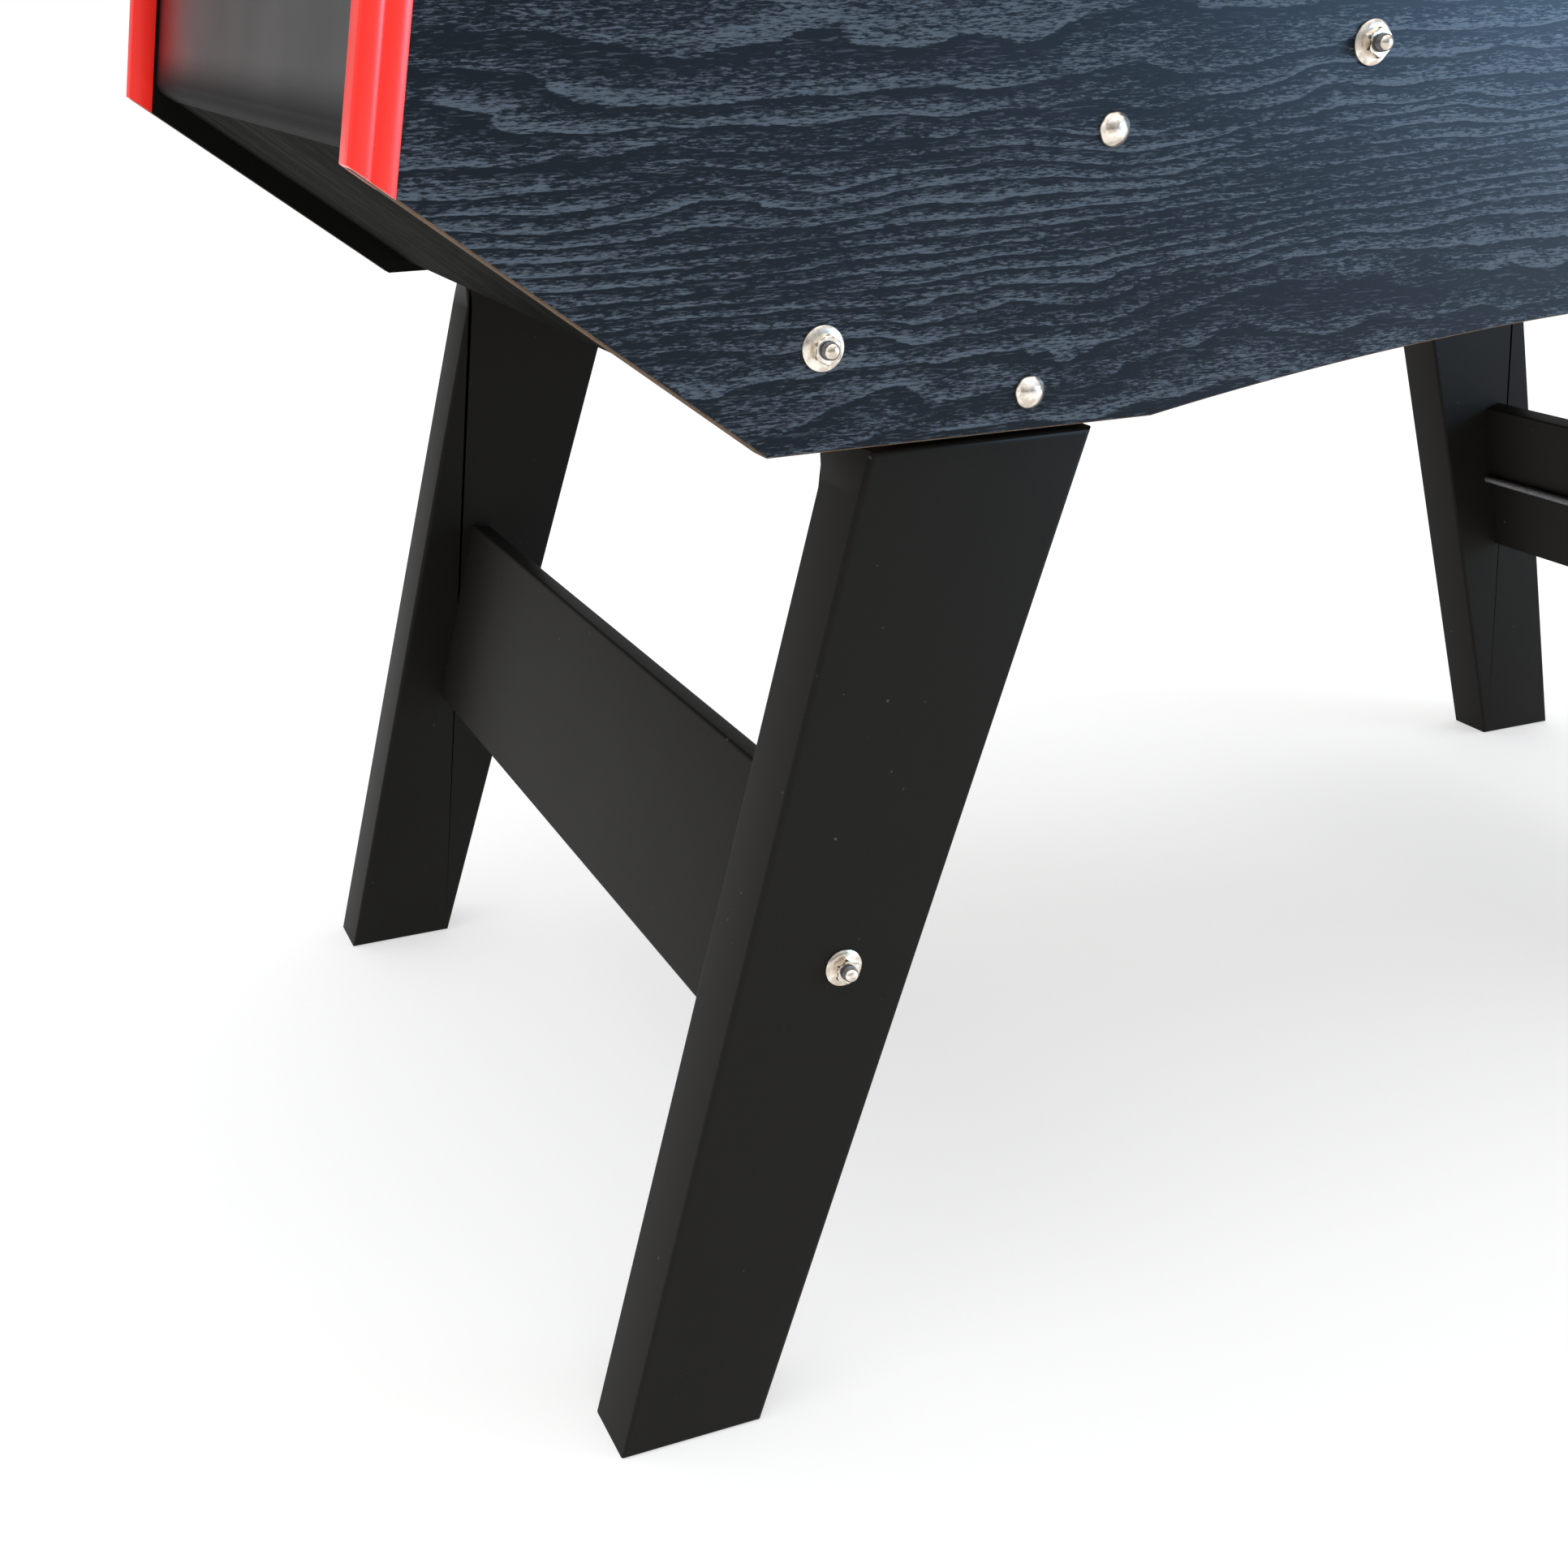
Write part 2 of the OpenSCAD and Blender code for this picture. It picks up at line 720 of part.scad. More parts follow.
module at_rod_ends() {
    both_sides() for (i = [1:rod_count]) {
        translate([rod_x(i), 0, rod_z]) children();
    }
}

module rod_bushings() {
    color([0.06, 0.06, 0.06]) at_rod_ends() bushing();
}

module ring_nuts() {
    color([0.06, 0.06, 0.06]) at_rod_ends() ring_nut();
}

module serve_cup() {
    lip = cup_r / 4;
    translate([0, 0, play_z + serve_above]) difference() {
        union() {
            bar(serve_d / 2 + cup_t, -side_y - cup_t, -inner_y);
            intersection() {
                translate([0, -side_y, 0]) sphere(r = cup_r);
                translate([-cup_r, -side_y - cup_r, -cup_r]) cube([2 * cup_r, cup_r, cup_r + lip]);
            }
        }
        intersection() {
            translate([0, -side_y, 0]) sphere(r = cup_r - cup_t);
            translate([-cup_r, -side_y - cup_r, -cup_r]) cube([2 * cup_r, cup_r - cup_t, 2 * cup_r]);
        }
        bar(serve_d / 2, -side_y - 2 * cup_t, -inner_y + past);
    }
}

module serve_cups() {
    color([0.06, 0.06, 0.06]) both_sides() serve_cup();
}

// ---- rods, players, grips, bumpers ----

// moves a rod's pieces into place; they are drawn with the handle towards -Y
module on_rod(i) {
    translate([rod_x(i), 0, rod_z]) rotate([0, 0, SIDE[i - 1] < 0 ? 0 : 180]) children();
}

module rod(i) {
    color([0.82, 0.82, 0.84]) on_rod(i) {
        bar(rod_r, -rod_near, rod_far - rod_r);
        translate([0, rod_far - rod_r, 0]) sphere(r = rod_r);
    }
}

module man() {
    shin_z = foot_reach - foot_z;
    leg_y = man_w / 2 - 2 * seat_gap;
    difference() {
        union() {
            bar(boss_d / 2, -man_w / 2, man_w / 2);
            board([[-hip_x / 2, 0], [hip_x / 2, 0], [chest_x / 2, shoulder_z],
                [-chest_x / 2, shoulder_z]], -man_w / 2, man_w / 2);
            board([[-shin_x / 2, -shin_z], [shin_x / 2, -shin_z], [thigh_x / 2, 0],
                [-thigh_x / 2, 0]], -leg_y, leg_y);
            translate([-foot_x / 2, -man_w / 2, -foot_reach]) cube([foot_x, man_w, foot_z]);
            translate([0, 0, shoulder_z - eps]) cylinder(r = head_r / 2, h = head_r);
            translate([0, 0, shoulder_z + head_r]) sphere(r = head_r);
        }
        bar(rod_r + eps, -man_w, man_w);
    }
}

module men(i, tint) {
    n = MEN[i - 1];
    color(tint) on_rod(i) for (k = [0:n - 1]) {
        translate([0, (k - (n - 1) / 2) * spacing(n), 0]) man();
    }
}

module grip(i) {
    waist_r = grip_waist_d / 2;
    full_r = grip_d / 2;
    color([0.05, 0.05, 0.05]) on_rod(i) translate([0, -grip_y, 0]) rotate([90, 0, 0])
        difference() {
            rotate_extrude() polygon([[0, 0], [waist_r, 0], [full_r, grip_swell],
                [waist_r, grip_waist], [full_r, grip_palm], [full_r, grip_l - grip_taper],
                [waist_r, grip_l], [0, grip_l]]);
            translate([0, 0, -past]) cylinder(r = rod_r + eps, h = grip_l - grip_cap + past);
        }
}

module bumpers(i) {
    y0 = bumper_y(MEN[i - 1]);
    color([0.03, 0.03, 0.03]) on_rod(i) both_sides() difference() {
        bar(bumper_d / 2, y0, y0 + bumper_l);
        bar(bore_r, y0 - past, y0 + bumper_l + past);
    }
}

team_front = [0.75, 0.05, 0.04];
team_back = [0.05, 0.12, 0.45];

side_panel_front();
side_panel_back();
end_panel_left();
end_panel_right();
underside_left();
underside_right();
playfield();
goal_wall_left();
goal_wall_right();
goal_box_left();
goal_box_right();
corner_ramps();
playfield_cleats();
top_rails();
corner_trims();
leg_front_left();
leg_front_right();
leg_back_left();
leg_back_right();
stretcher_left();
stretcher_right();
tie_rods();
flange_nuts();
carriage_bolts();
carriage_nuts();
rod_bushings();
ring_nuts();
serve_cups();
rod(1);  // rod_1
rod(2);  // rod_2
rod(3);  // rod_3
rod(4);  // rod_4
rod(5);  // rod_5
rod(6);  // rod_6
rod(7);  // rod_7
rod(8);  // rod_8
men(1, team_front);  // men_1
men(2, team_front);  // men_2
men(3, team_back);  // men_3
men(4, team_front);  // men_4
men(5, team_back);  // men_5
men(6, team_front);  // men_6
men(7, team_back);  // men_7
men(8, team_back);  // men_8
grip(1);  // grip_1
grip(2);  // grip_2
grip(3);  // grip_3
grip(4);  // grip_4
grip(5);  // grip_5
grip(6);  // grip_6
grip(7);  // grip_7
grip(8);  // grip_8
bumpers(1);  // bumpers_1
bumpers(2);  // bumpers_2
bumpers(3);  // bumpers_3
bumpers(4);  // bumpers_4
bumpers(5);  // bumpers_5
bumpers(6);  // bumpers_6
bumpers(7);  // bumpers_7
bumpers(8);  // bumpers_8
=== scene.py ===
import math

import bmesh
import bpy
import numpy as np
from mathutils import Matrix, Vector
from mathutils.geometry import tessellate_polygon


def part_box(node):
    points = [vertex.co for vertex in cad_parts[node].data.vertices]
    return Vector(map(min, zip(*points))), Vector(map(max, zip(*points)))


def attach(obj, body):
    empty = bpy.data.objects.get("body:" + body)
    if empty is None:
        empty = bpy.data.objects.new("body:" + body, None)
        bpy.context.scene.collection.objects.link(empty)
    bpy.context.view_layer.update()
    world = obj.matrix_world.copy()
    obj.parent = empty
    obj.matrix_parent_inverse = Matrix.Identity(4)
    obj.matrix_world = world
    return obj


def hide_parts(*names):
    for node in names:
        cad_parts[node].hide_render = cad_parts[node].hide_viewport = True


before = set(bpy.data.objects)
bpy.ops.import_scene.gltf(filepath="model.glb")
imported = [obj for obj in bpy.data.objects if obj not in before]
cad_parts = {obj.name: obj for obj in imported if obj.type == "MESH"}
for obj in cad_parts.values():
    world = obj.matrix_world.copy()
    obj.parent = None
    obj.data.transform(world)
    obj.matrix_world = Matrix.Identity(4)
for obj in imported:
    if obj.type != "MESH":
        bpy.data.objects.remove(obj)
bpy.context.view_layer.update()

bl_info = {
    "name": "Foosball Table",
    "version": (1, 0, 0),
    "blender": (4, 5, 0),
    "location": "View3D > Sidebar > Foosball",
    "description": "Builds a foosball table's boards, trims, legs, rods, players and fittings",
    "category": "Add Mesh",
}

MM = 0.001
TAU = 2 * math.pi

# ---- places, read from the model's parts ----

PANEL_LO, PANEL_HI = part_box("side_panel_front")
RAIL_LO, RAIL_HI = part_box("top_rails")
LEG_LO, LEG_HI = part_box("leg_front_right")
WALL_LO, WALL_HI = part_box("goal_wall_right")
SIDE_Y = -PANEL_LO.y
INNER_Y = -PANEL_HI.y
CABINET_Z = PANEL_LO.z
RAIL_Z = RAIL_LO.z
TOP_Z = RAIL_HI.z
END_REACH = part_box("corner_trims")[1].x
PLAY_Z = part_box("playfield")[1].z
PLAY_HALF = WALL_LO.x
LEG_FACE_Y = -LEG_LO.y
LEG_BACK_Y = -LEG_HI.y
LEG_FOOT_OUT = LEG_HI.x
TENON_Z = LEG_HI.z
RODS = range(1, 9)
MEN = (1, 2, 3, 5, 5, 3, 2, 1)
SPACING = {1: 0.0, 2: 270 * MM, 3: 190 * MM, 5: 118 * MM}

# ---- the cabinet's outline ----

FLAT_HALF = 543 * MM
SLANT = math.radians(36.9)
LEAN = math.radians(10)
ARCH_HALF = 348 * MM
ARCH_RISE = 30 * MM
END_RECESS = 18 * MM
END_T = 12 * MM
UNDER_RECESS = 15 * MM
TIP_Z = CABINET_Z + (END_REACH - FLAT_HALF) * math.tan(SLANT)
TIE_LOW = (517 * MM, 573 * MM)
TIE_UP = (245 * MM, 686 * MM)
TIE_LEG = (500 * MM, 268 * MM)
BOLTS = ((414 * MM, 545 * MM), (378 * MM, 655 * MM))
LEG_FOOT_IN = 546 * MM
LEG_TOP_OUT = 489 * MM
LEG_TOP_IN = 374 * MM
SHOULDER_Z = 524 * MM
TENON_W = 92 * MM
STRETCHER_Z = 273 * MM
STRETCHER_W = 140 * MM
STRETCHER_T = 16 * MM
STRETCHER_IN = 35 * MM
SERVE_Z = PLAY_Z + 45 * MM
WINDOW_LOW, WINDOW_HIGH = PLAY_Z - 16 * MM, PLAY_Z + 67 * MM
WINDOW_HALF = 103 * MM
MOUTH_HALF, MOUTH_TOP = 100 * MM, PLAY_Z + 64 * MM
FLARE_H = 20 * MM
FLARE_LOW = SHOULDER_Z - FLARE_H


def end_x(z):
    """The leaning end line: x falls by tan(lean) for each metre above the tip."""
    return END_REACH - (z - TIP_Z) * math.tan(LEAN)


def slant_z(x):
    """The slanted lower edge: z rises by tan(slant) for each metre beyond the flat part."""
    return CABINET_Z + (x - FLAT_HALF) * math.tan(SLANT)


def meet_x(depth, inset):
    """Where the slanted edge, moved in by depth along its normal, meets the end line moved in by inset."""
    rise = math.tan(SLANT)
    lean = math.tan(LEAN)
    low = CABINET_Z + depth / math.cos(SLANT) - FLAT_HALF * rise
    return (END_REACH - inset + (TIP_Z - low) * lean) / (1 + rise * lean)


# ---- forms: whole arrays of points and faces ----


class Form:
    """Points, the corners of all faces in a row, each face's size, its finish and whether it is flat."""

    def __init__(self, points, corners, sizes, tints, flats):
        self.points, self.corners, self.sizes = points, corners, sizes
        self.tints, self.flats = tints, flats

    def moved(self, offset=(0, 0, 0), scale=(1, 1, 1)):
        """Points times scale plus offset."""
        return Form(self.points * np.asarray(scale, float) + np.asarray(offset, float),
                    self.corners, self.sizes, self.tints, self.flats)


def joined(forms):
    """All forms in one, each one's corners counted on from the points before it."""
    counts = np.cumsum([0] + [len(f.points) for f in forms])
    return Form(
        np.concatenate([f.points for f in forms]),
        np.concatenate([f.corners + n for f, n in zip(forms, counts)]),
        np.concatenate([f.sizes for f in forms]),
        np.concatenate([f.tints for f in forms]),
        np.concatenate([f.flats for f in forms]),
    )


def shape(points, quads, polygons=(), tint=0, polygon_tint=None):
    """A closed form from quads and polygons. Its faces may look either way: make_piece turns them."""
    quads = np.asarray(quads, np.int64).reshape(-1, 4)
    rest = [np.asarray(p, np.int64) for p in polygons]
    other = tint if polygon_tint is None else polygon_tint
    return Form(
        np.asarray(points, float).reshape(-1, 3),
        np.concatenate([quads.ravel(), *rest]),
        np.array([4] * len(quads) + [len(p) for p in rest], int),
        np.concatenate([np.broadcast_to(tint, len(quads)), np.broadcast_to(other, len(rest))]).astype(int),
        np.arange(len(quads) + len(rest)) >= len(quads),
    )


def ring_quads(rows, count, loop=False):
    """Quads between neighbouring rings of count points; loop also joins the last ring to the first."""
    i = np.arange(rows if loop else rows - 1)[:, None]
    j = np.arange(count)[None, :]
    k, m = (i + 1) % rows, (j + 1) % count
    return np.stack([i * count + j, k * count + j, k * count + m, i * count + m], -1).reshape(-1, 4)


def skin(grid, loop=False, tint=0):
    """A closed skin over rings [row, point]; open ends get a flat cap each. A row of tints gives each
    band between two rings its own."""
    rows, count = grid.shape[:2]
    caps = () if loop else (np.arange(count), np.arange(count) + (rows - 1) * count)
    quads = ring_quads(rows, count, loop)
    if np.ndim(tint):
        return shape(grid, quads, caps, np.repeat(np.asarray(tint), count), tint[0])
    return shape(grid, quads, caps, tint)


def lathe(profile, centre=(0, 0, 0), count=40, loop=False, tint=0):
    """A profile of (radius, y) turned about the Y line through centre: x = r cos a, z = r sin a."""
    profile = np.asarray(profile, float)
    a = np.linspace(0, TAU, count, endpoint=False)
    r, y = profile[:, :1], profile[:, 1:]
    grid = np.stack([centre[0] + r * np.cos(a), centre[1] + y + 0 * a, centre[2] + r * np.sin(a)], -1)
    return skin(grid, loop, tint)


def eased(rows, steps):
    """A Catmull-Rom curve through the rows, steps points to each span."""
    rows = np.asarray(rows, float)
    pad = np.concatenate([rows[:1], rows, rows[-1:]])
    p0, p1, p2, p3 = (pad[k : len(rows) - 1 + k, None] for k in range(4))
    t = np.linspace(0, 1, steps, endpoint=False)[None, :, None]
    curve = 0.5 * (2 * p1 + (p2 - p0) * t + (2 * p0 - 5 * p1 + 4 * p2 - p3) * t**2
                   + (3 * p1 - p0 - 3 * p2 + p3) * t**3)
    return np.concatenate([curve.reshape(-1, rows.shape[1]), rows[-1:]])


def stack(rows, count=20, steps=3, tint=0):
    """Superellipses over each other: rows of (z, centre x, centre y, half x, half y, power)."""
    z, cx, cy, hx, hy, power = (c[:, None] for c in eased(rows, steps).T)
    a = np.linspace(0, TAU, count, endpoint=False)
    cos, sin = np.cos(a), np.sin(a)
    x = cx + hx * np.sign(cos) * np.abs(cos) ** (2 / power)
    y = cy + hy * np.sign(sin) * np.abs(sin) ** (2 / power)
    return skin(np.stack([x, y, z + 0 * a], -1) * MM, tint=tint)


def ball(centre, radii, tint=0, count=12):
    """An ellipsoid: centre plus radii times (cos a cos e, sin a cos e, sin e)."""
    e = np.linspace(-1.5, 1.5, 8)[:, None]
    a = np.linspace(0, TAU, count, endpoint=False)[None, :]
    unit = np.stack([np.cos(a) * np.cos(e), np.sin(a) * np.cos(e), np.sin(e) + 0 * a], -1)
    return skin((np.asarray(centre) + unit * np.asarray(radii)) * MM, tint=tint)


def inset(outline, depth):
    """A closed outline moved in by depth: each corner goes along the sum of its two edges' normals,
    over one plus their product. Depth is positive inward for an outline that runs anticlockwise."""
    after = np.roll(outline, -1, 0) - outline
    after /= np.linalg.norm(after, axis=1, keepdims=True)
    before = np.roll(after, 1, 0)
    n0 = np.stack([-before[:, 1], before[:, 0]], -1)
    n1 = np.stack([-after[:, 1], after[:, 0]], -1)
    return outline + depth * (n0 + n1) / (1 + (n0 * n1).sum(1, keepdims=True))


def anticlockwise(outline):
    """The outline, turned round if its signed area, the sum of x y' - y x', isn't positive."""
    outline = np.asarray(outline, float)
    x, y = outline.T
    return outline if (x * np.roll(y, -1) - y * np.roll(x, -1)).sum() > 0 else outline[::-1]


def board(outline, w0, w1, edge=0.0, steps=1, holes=(), tints=(0, 0, 0), axes=(0, 2, 1),
          hole_edge=None):
    """A board between w0 and w1 whose outline lies in the plane of the first two axes.
    Its edges are quarter rounds of radius edge in so many steps. The tints are the face at w0,
    the edges, and the face at w1 with its round. The holes' rounds may have a radius of their own."""
    contours = [anticlockwise(outline)] + [anticlockwise(h)[::-1] for h in holes]
    a = np.linspace(0, math.pi / 2, steps + 1)
    round_in, round_w = edge * (1 - np.sin(a)), edge * (1 - np.cos(a))
    points, quads, tint, tops, tails, base = [], [], [], [], [], 0
    for number, contour in enumerate(contours):
        share = 1 if number == 0 or hole_edge is None else hole_edge / max(edge, 1e-9)
        depth = np.concatenate([round_in, round_in[::-1]]) * share
        level = np.concatenate([w0 + round_w * share, (w1 - round_w * share)[::-1]])
        if edge == 0:
            depth, level = np.zeros(2), np.array([w0, w1])
        rings = [np.column_stack([inset(contour, d), np.full(len(contour), w)]) for d, w in zip(depth, level)]
        quads.append(ring_quads(len(rings), len(contour)) + base)
        band = np.full(len(quads[-1]), tints[1])
        band[len(contour) * (len(rings) - 1 - steps * (edge > 0)) :] = tints[2] if edge > 0 else tints[1]
        tint.append(band)
        tops.append(np.arange(len(contour)) + base)
        tails.append(np.arange(len(contour)) + base + (len(rings) - 1) * len(contour))
        points += rings
        base += len(rings) * len(contour)
    points = np.concatenate(points)
    caps, cap_tint = [], []
    for rows, tone in ((np.concatenate(tops), tints[0]), (np.concatenate(tails), tints[2])):
        parts = np.split(points[rows], np.cumsum([len(c) for c in contours])[:-1])
        triangles = tessellate_polygon([[(p[0], p[1], 0) for p in part.tolist()] for part in parts])
        caps.append(rows[np.array(triangles)])
        cap_tint.append(np.full(len(triangles), tone))
    placed = np.empty_like(points)
    placed[:, axes] = points
    return shape(placed, np.concatenate(quads), np.concatenate(caps), np.concatenate(tint),
                 np.concatenate(cap_tint))


def circle(x, z, radius, count=32):
    """A round outline about (x, z)."""
    a = np.linspace(0, TAU, count, endpoint=False)
    return np.stack([x + radius * np.cos(a), z + radius * np.sin(a)], -1)


def corner_round(corners, radius, steps=5):
    """An outline whose corners are cut by arcs: each corner becomes steps + 1 points of a quadratic curve."""
    corners = np.asarray(corners, float)
    before = np.roll(corners, 1, 0) - corners
    after = np.roll(corners, -1, 0) - corners
    p = corners + before / np.linalg.norm(before, axis=1, keepdims=True) * radius
    q = corners + after / np.linalg.norm(after, axis=1, keepdims=True) * radius
    t = np.linspace(0, 1, steps + 1)[None, :, None]
    curve = p[:, None] * (1 - t) ** 2 + 2 * corners[:, None] * t * (1 - t) + q[:, None] * t**2
    return curve.reshape(-1, 2)


def both_sides(form):
    """The form and its mirror image across the long middle plane."""
    return [form, form.moved(scale=(1, -1, 1))]


def four_ways(form):
    """The form at all four corners, by mirrors across both middle planes."""
    return both_sides(form) + both_sides(form.moved(scale=(-1, 1, 1)))


def make_piece(name, forms, finishes, body, slot, *nodes, sharp=38):
    """Puts the joined forms into one mesh and turns all of its faces outward, rides it on its body and
    lets it stand for its nodes."""
    whole = joined(forms)
    mesh = bpy.data.meshes.new(name)
    mesh.vertices.add(len(whole.points))
    mesh.vertices.foreach_set("co", whole.points.astype(np.float32).ravel())
    mesh.loops.add(len(whole.corners))
    mesh.loops.foreach_set("vertex_index", whole.corners.astype(np.int32))
    mesh.polygons.add(len(whole.sizes))
    mesh.polygons.foreach_set("loop_start", (np.cumsum(whole.sizes) - whole.sizes).astype(np.int32))
    mesh.polygons.foreach_set("material_index", whole.tints.astype(np.int32))
    mesh.update(calc_edges=True)
    mesh.polygons.foreach_set("use_smooth", ~whole.flats)
    mesh.validate()
    solid = bmesh.new()
    solid.from_mesh(mesh)
    bmesh.ops.recalc_face_normals(solid, faces=solid.faces)
    solid.to_mesh(mesh)
    solid.free()
    mesh.set_sharp_from_angle(angle=math.radians(sharp))
    for finish in finishes:
        mesh.materials.append(finish)
    piece = bpy.data.objects.new(name, mesh)
    bpy.context.scene.collection.objects.link(piece)
    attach(piece, body)
    if nodes:
        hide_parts(*nodes)
    return piece


def mirrored_pair(name, forms, finishes, slot, node, **how):
    """The right end's piece, and its mirror image for the left end."""
    for end, sign in (("right", 1), ("left", -1)):
        make_piece(f"{end}_{name}", [f.moved(scale=(sign, 1, 1)) for f in forms], finishes, "cabinet", slot,
                   f"{node}_{end}", **how)


def refinish(material, *nodes):
    """Gives kept nodes a better finish on all of their slots."""
    for node in nodes:
        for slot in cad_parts[node].material_slots:
            slot.material = material


# ---- finishes ----


class Wire:
    """A node's output. Arithmetic on it adds Math nodes."""

    def __init__(self, finish, socket):
        self.finish, self.socket = finish, socket

    def _math(self, operation, *values):
        return self.finish.node("ShaderNodeMath", {"operation": operation}, dict(enumerate(values)))

    def __add__(self, other):
        return self._math("ADD", self, other)

    def __radd__(self, other):
        return self._math("ADD", other, self)

    def __sub__(self, other):
        return self._math("SUBTRACT", self, other)

    def __rsub__(self, other):
        return self._math("SUBTRACT", other, self)

    def __mul__(self, other):
        return self._math("MULTIPLY", self, other)

    def __rmul__(self, other):
        return self._math("MULTIPLY", other, self)

    def __truediv__(self, other):
        return self._math("DIVIDE", self, other)

    def __pow__(self, other):
        return self._math("POWER", self, other)

    def __abs__(self):
        return self._math("ABSOLUTE", self)

    def fraction(self):
        return self._math("FRACT", self)

    def arctan(self):
        return self._math("ARCTANGENT", self)

    def least(self, other):
        return self._math("MINIMUM", self, other)

    def most(self, other):
        return self._math("MAXIMUM", self, other)

    def step(self, low, high):
        """Zero below low, one above high, and eased between them."""
        return self.finish.node("ShaderNodeMapRange", {"interpolation_type": "SMOOTHSTEP"},
                                {"Value": self, "From Min": low, "From Max": high})

    def near(self, target, half, soft=0.0004):
        """One within half of target, and zero away from it."""
        return 1 - abs(self - target).step(half, half + soft)


class Finish:
    """A material whose patterns follow the object's own coordinates, in metres."""

    def __init__(self, name):
        self.material = bpy.data.materials.new(name)
        self.material.use_nodes = True
        self.tree = self.material.node_tree
        self.shader = self.tree.nodes["Principled BSDF"]
        self.place = self.node("ShaderNodeTexCoord", out="Object")

    def node(self, kind, settings=None, sockets=None, out=0):
        """Adds any node: its settings first, then the values or links of its sockets."""
        made = self.tree.nodes.new(kind)
        for key, value in (settings or {}).items():
            if key == "stops":
                for _ in range(len(value) - 2):
                    made.color_ramp.elements.new(0.5)
                for stop, (at, colour) in zip(made.color_ramp.elements, value):
                    stop.position, stop.color = at, (*colour, 1)
            else:
                setattr(made, key, value)
        for key, value in (sockets or {}).items():
            self.plug(made.inputs[key], value)
        return Wire(self, made.outputs[out])

    def plug(self, socket, value):
        if isinstance(value, Wire):
            self.tree.links.new(value.socket, socket)
        elif socket.type == "RGBA":
            socket.default_value = (*tuple(value)[:3], 1)
        else:
            socket.default_value = value

    def axes(self):
        split = self.node("ShaderNodeSeparateXYZ", sockets={"Vector": self.place}).socket.node
        return [Wire(self, split.outputs[k]) for k in range(3)]

    def noise(self, stretch, detail=2.0, roughness=0.5, offset=(0, 0, 0)):
        """Noise whose grains are one over stretch metres, along each axis or the same along all."""
        stretch = stretch if isinstance(stretch, tuple) else (stretch,) * 3
        at = self.node("ShaderNodeMapping",
                       sockets={"Vector": self.place, "Scale": stretch, "Location": offset})
        return self.node("ShaderNodeTexNoise", sockets={
            "Vector": at, "Scale": 1.0, "Detail": detail, "Roughness": roughness})

    def blend(self, factor, one, other):
        return self.node("ShaderNodeMix", {"data_type": "RGBA"}, {0: factor, 6: one, 7: other}, out=2)

    def made(self, bump=None, strength=0.2, depth=0.0003, **sockets):
        """Sets the shader's sockets, named with spaces as underscores, and returns the material."""
        for key, value in sockets.items():
            self.plug(self.shader.inputs[key.replace("_", " ")], value)
        if bump is not None:
            lift = self.node("ShaderNodeBump",
                             sockets={"Height": bump, "Strength": strength, "Distance": depth})
            self.plug(self.shader.inputs["Normal"], lift)
        return self.material


def make_woodgrain_foil(f, colours):
    """Grain lines crowd in the middle of the board and open out into broad flames above and below.
    Each line has a crisp lower border and fades upward, and is made of short flat flecks."""
    x, y, z = f.axes()
    past = x + 0.40
    rise = 0.036 * (past + (past * past + 0.008) ** 0.5)
    swell = f.noise((2.4, 1.0, 7.0), 1.0, 0.4) - 0.5
    middle = z - rise - 0.615 + 0.022 * swell
    away = (abs(middle) * 16.0).least(1.0)
    flame = f.noise((9.0, 1.0, 20.0), 2.0, 0.45, offset=(0, 0, 4)) - 0.5
    wander = f.noise((34.0, 1.0, 130.0), 2.0, 0.55) - 0.5
    middle = middle + (0.004 + 0.060 * away) * flame + (0.0030 + 0.004 * away) * wander
    phase = (8.6 * (middle / 0.047).arctan()).fraction()
    band = phase.step(0.0, 0.07) * ((1 - phase) ** 1.2)
    patch = f.noise((5.0, 1.0, 34.0), 2.0, 0.5, offset=(3, 0, 1)).step(0.34, 0.60)
    fleck = f.noise((240.0, 1.0, 1500.0), 2.0, 0.65)
    streak = f.noise((40.0, 1.0, 700.0), 2.0, 0.6, offset=(1, 0, 9))
    dash = f.noise((110.0, 1.0, 1000.0), 1.0, 0.6, offset=(5, 0, 2)).step(0.60, 0.70)
    cover = band * (0.30 + 0.70 * patch)
    light = (0.74 * fleck + 0.26 * streak + (0.26 - 0.05 * away) * cover).step(0.55, 0.74)
    light = (light * cover.step(0.0, 0.22)).most(0.42 * dash * (1 - cover))
    ground = f.blend(f.noise((6.0, 1.0, 10.0), 2.0), colours.foil_dark, colours.foil_mid)
    colour = f.blend(light, ground, colours.foil_grain)
    return f.made(light, 0.10, 0.0002, Base_Color=colour, Roughness=0.34 - 0.06 * light,
                  Specular_IOR_Level=0.11)


def make_board_edge(f, colours):
    """Sawn fibreboard: pale brown, with fine fibres and patches of tone that change quickly across its
    thickness.
    """
    fibre = f.noise(900.0, 3.0, 0.7)
    patch = f.noise((30.0, 200.0, 30.0), 2.0)
    colour = f.blend((fibre * 0.7 + patch * 0.3).step(0.3, 0.7), (0.075, 0.045, 0.026), (0.17, 0.112, 0.066))
    return f.made(fibre, 0.3, 0.0002, Base_Color=colour, Roughness=0.85, Specular_IOR_Level=0.2)


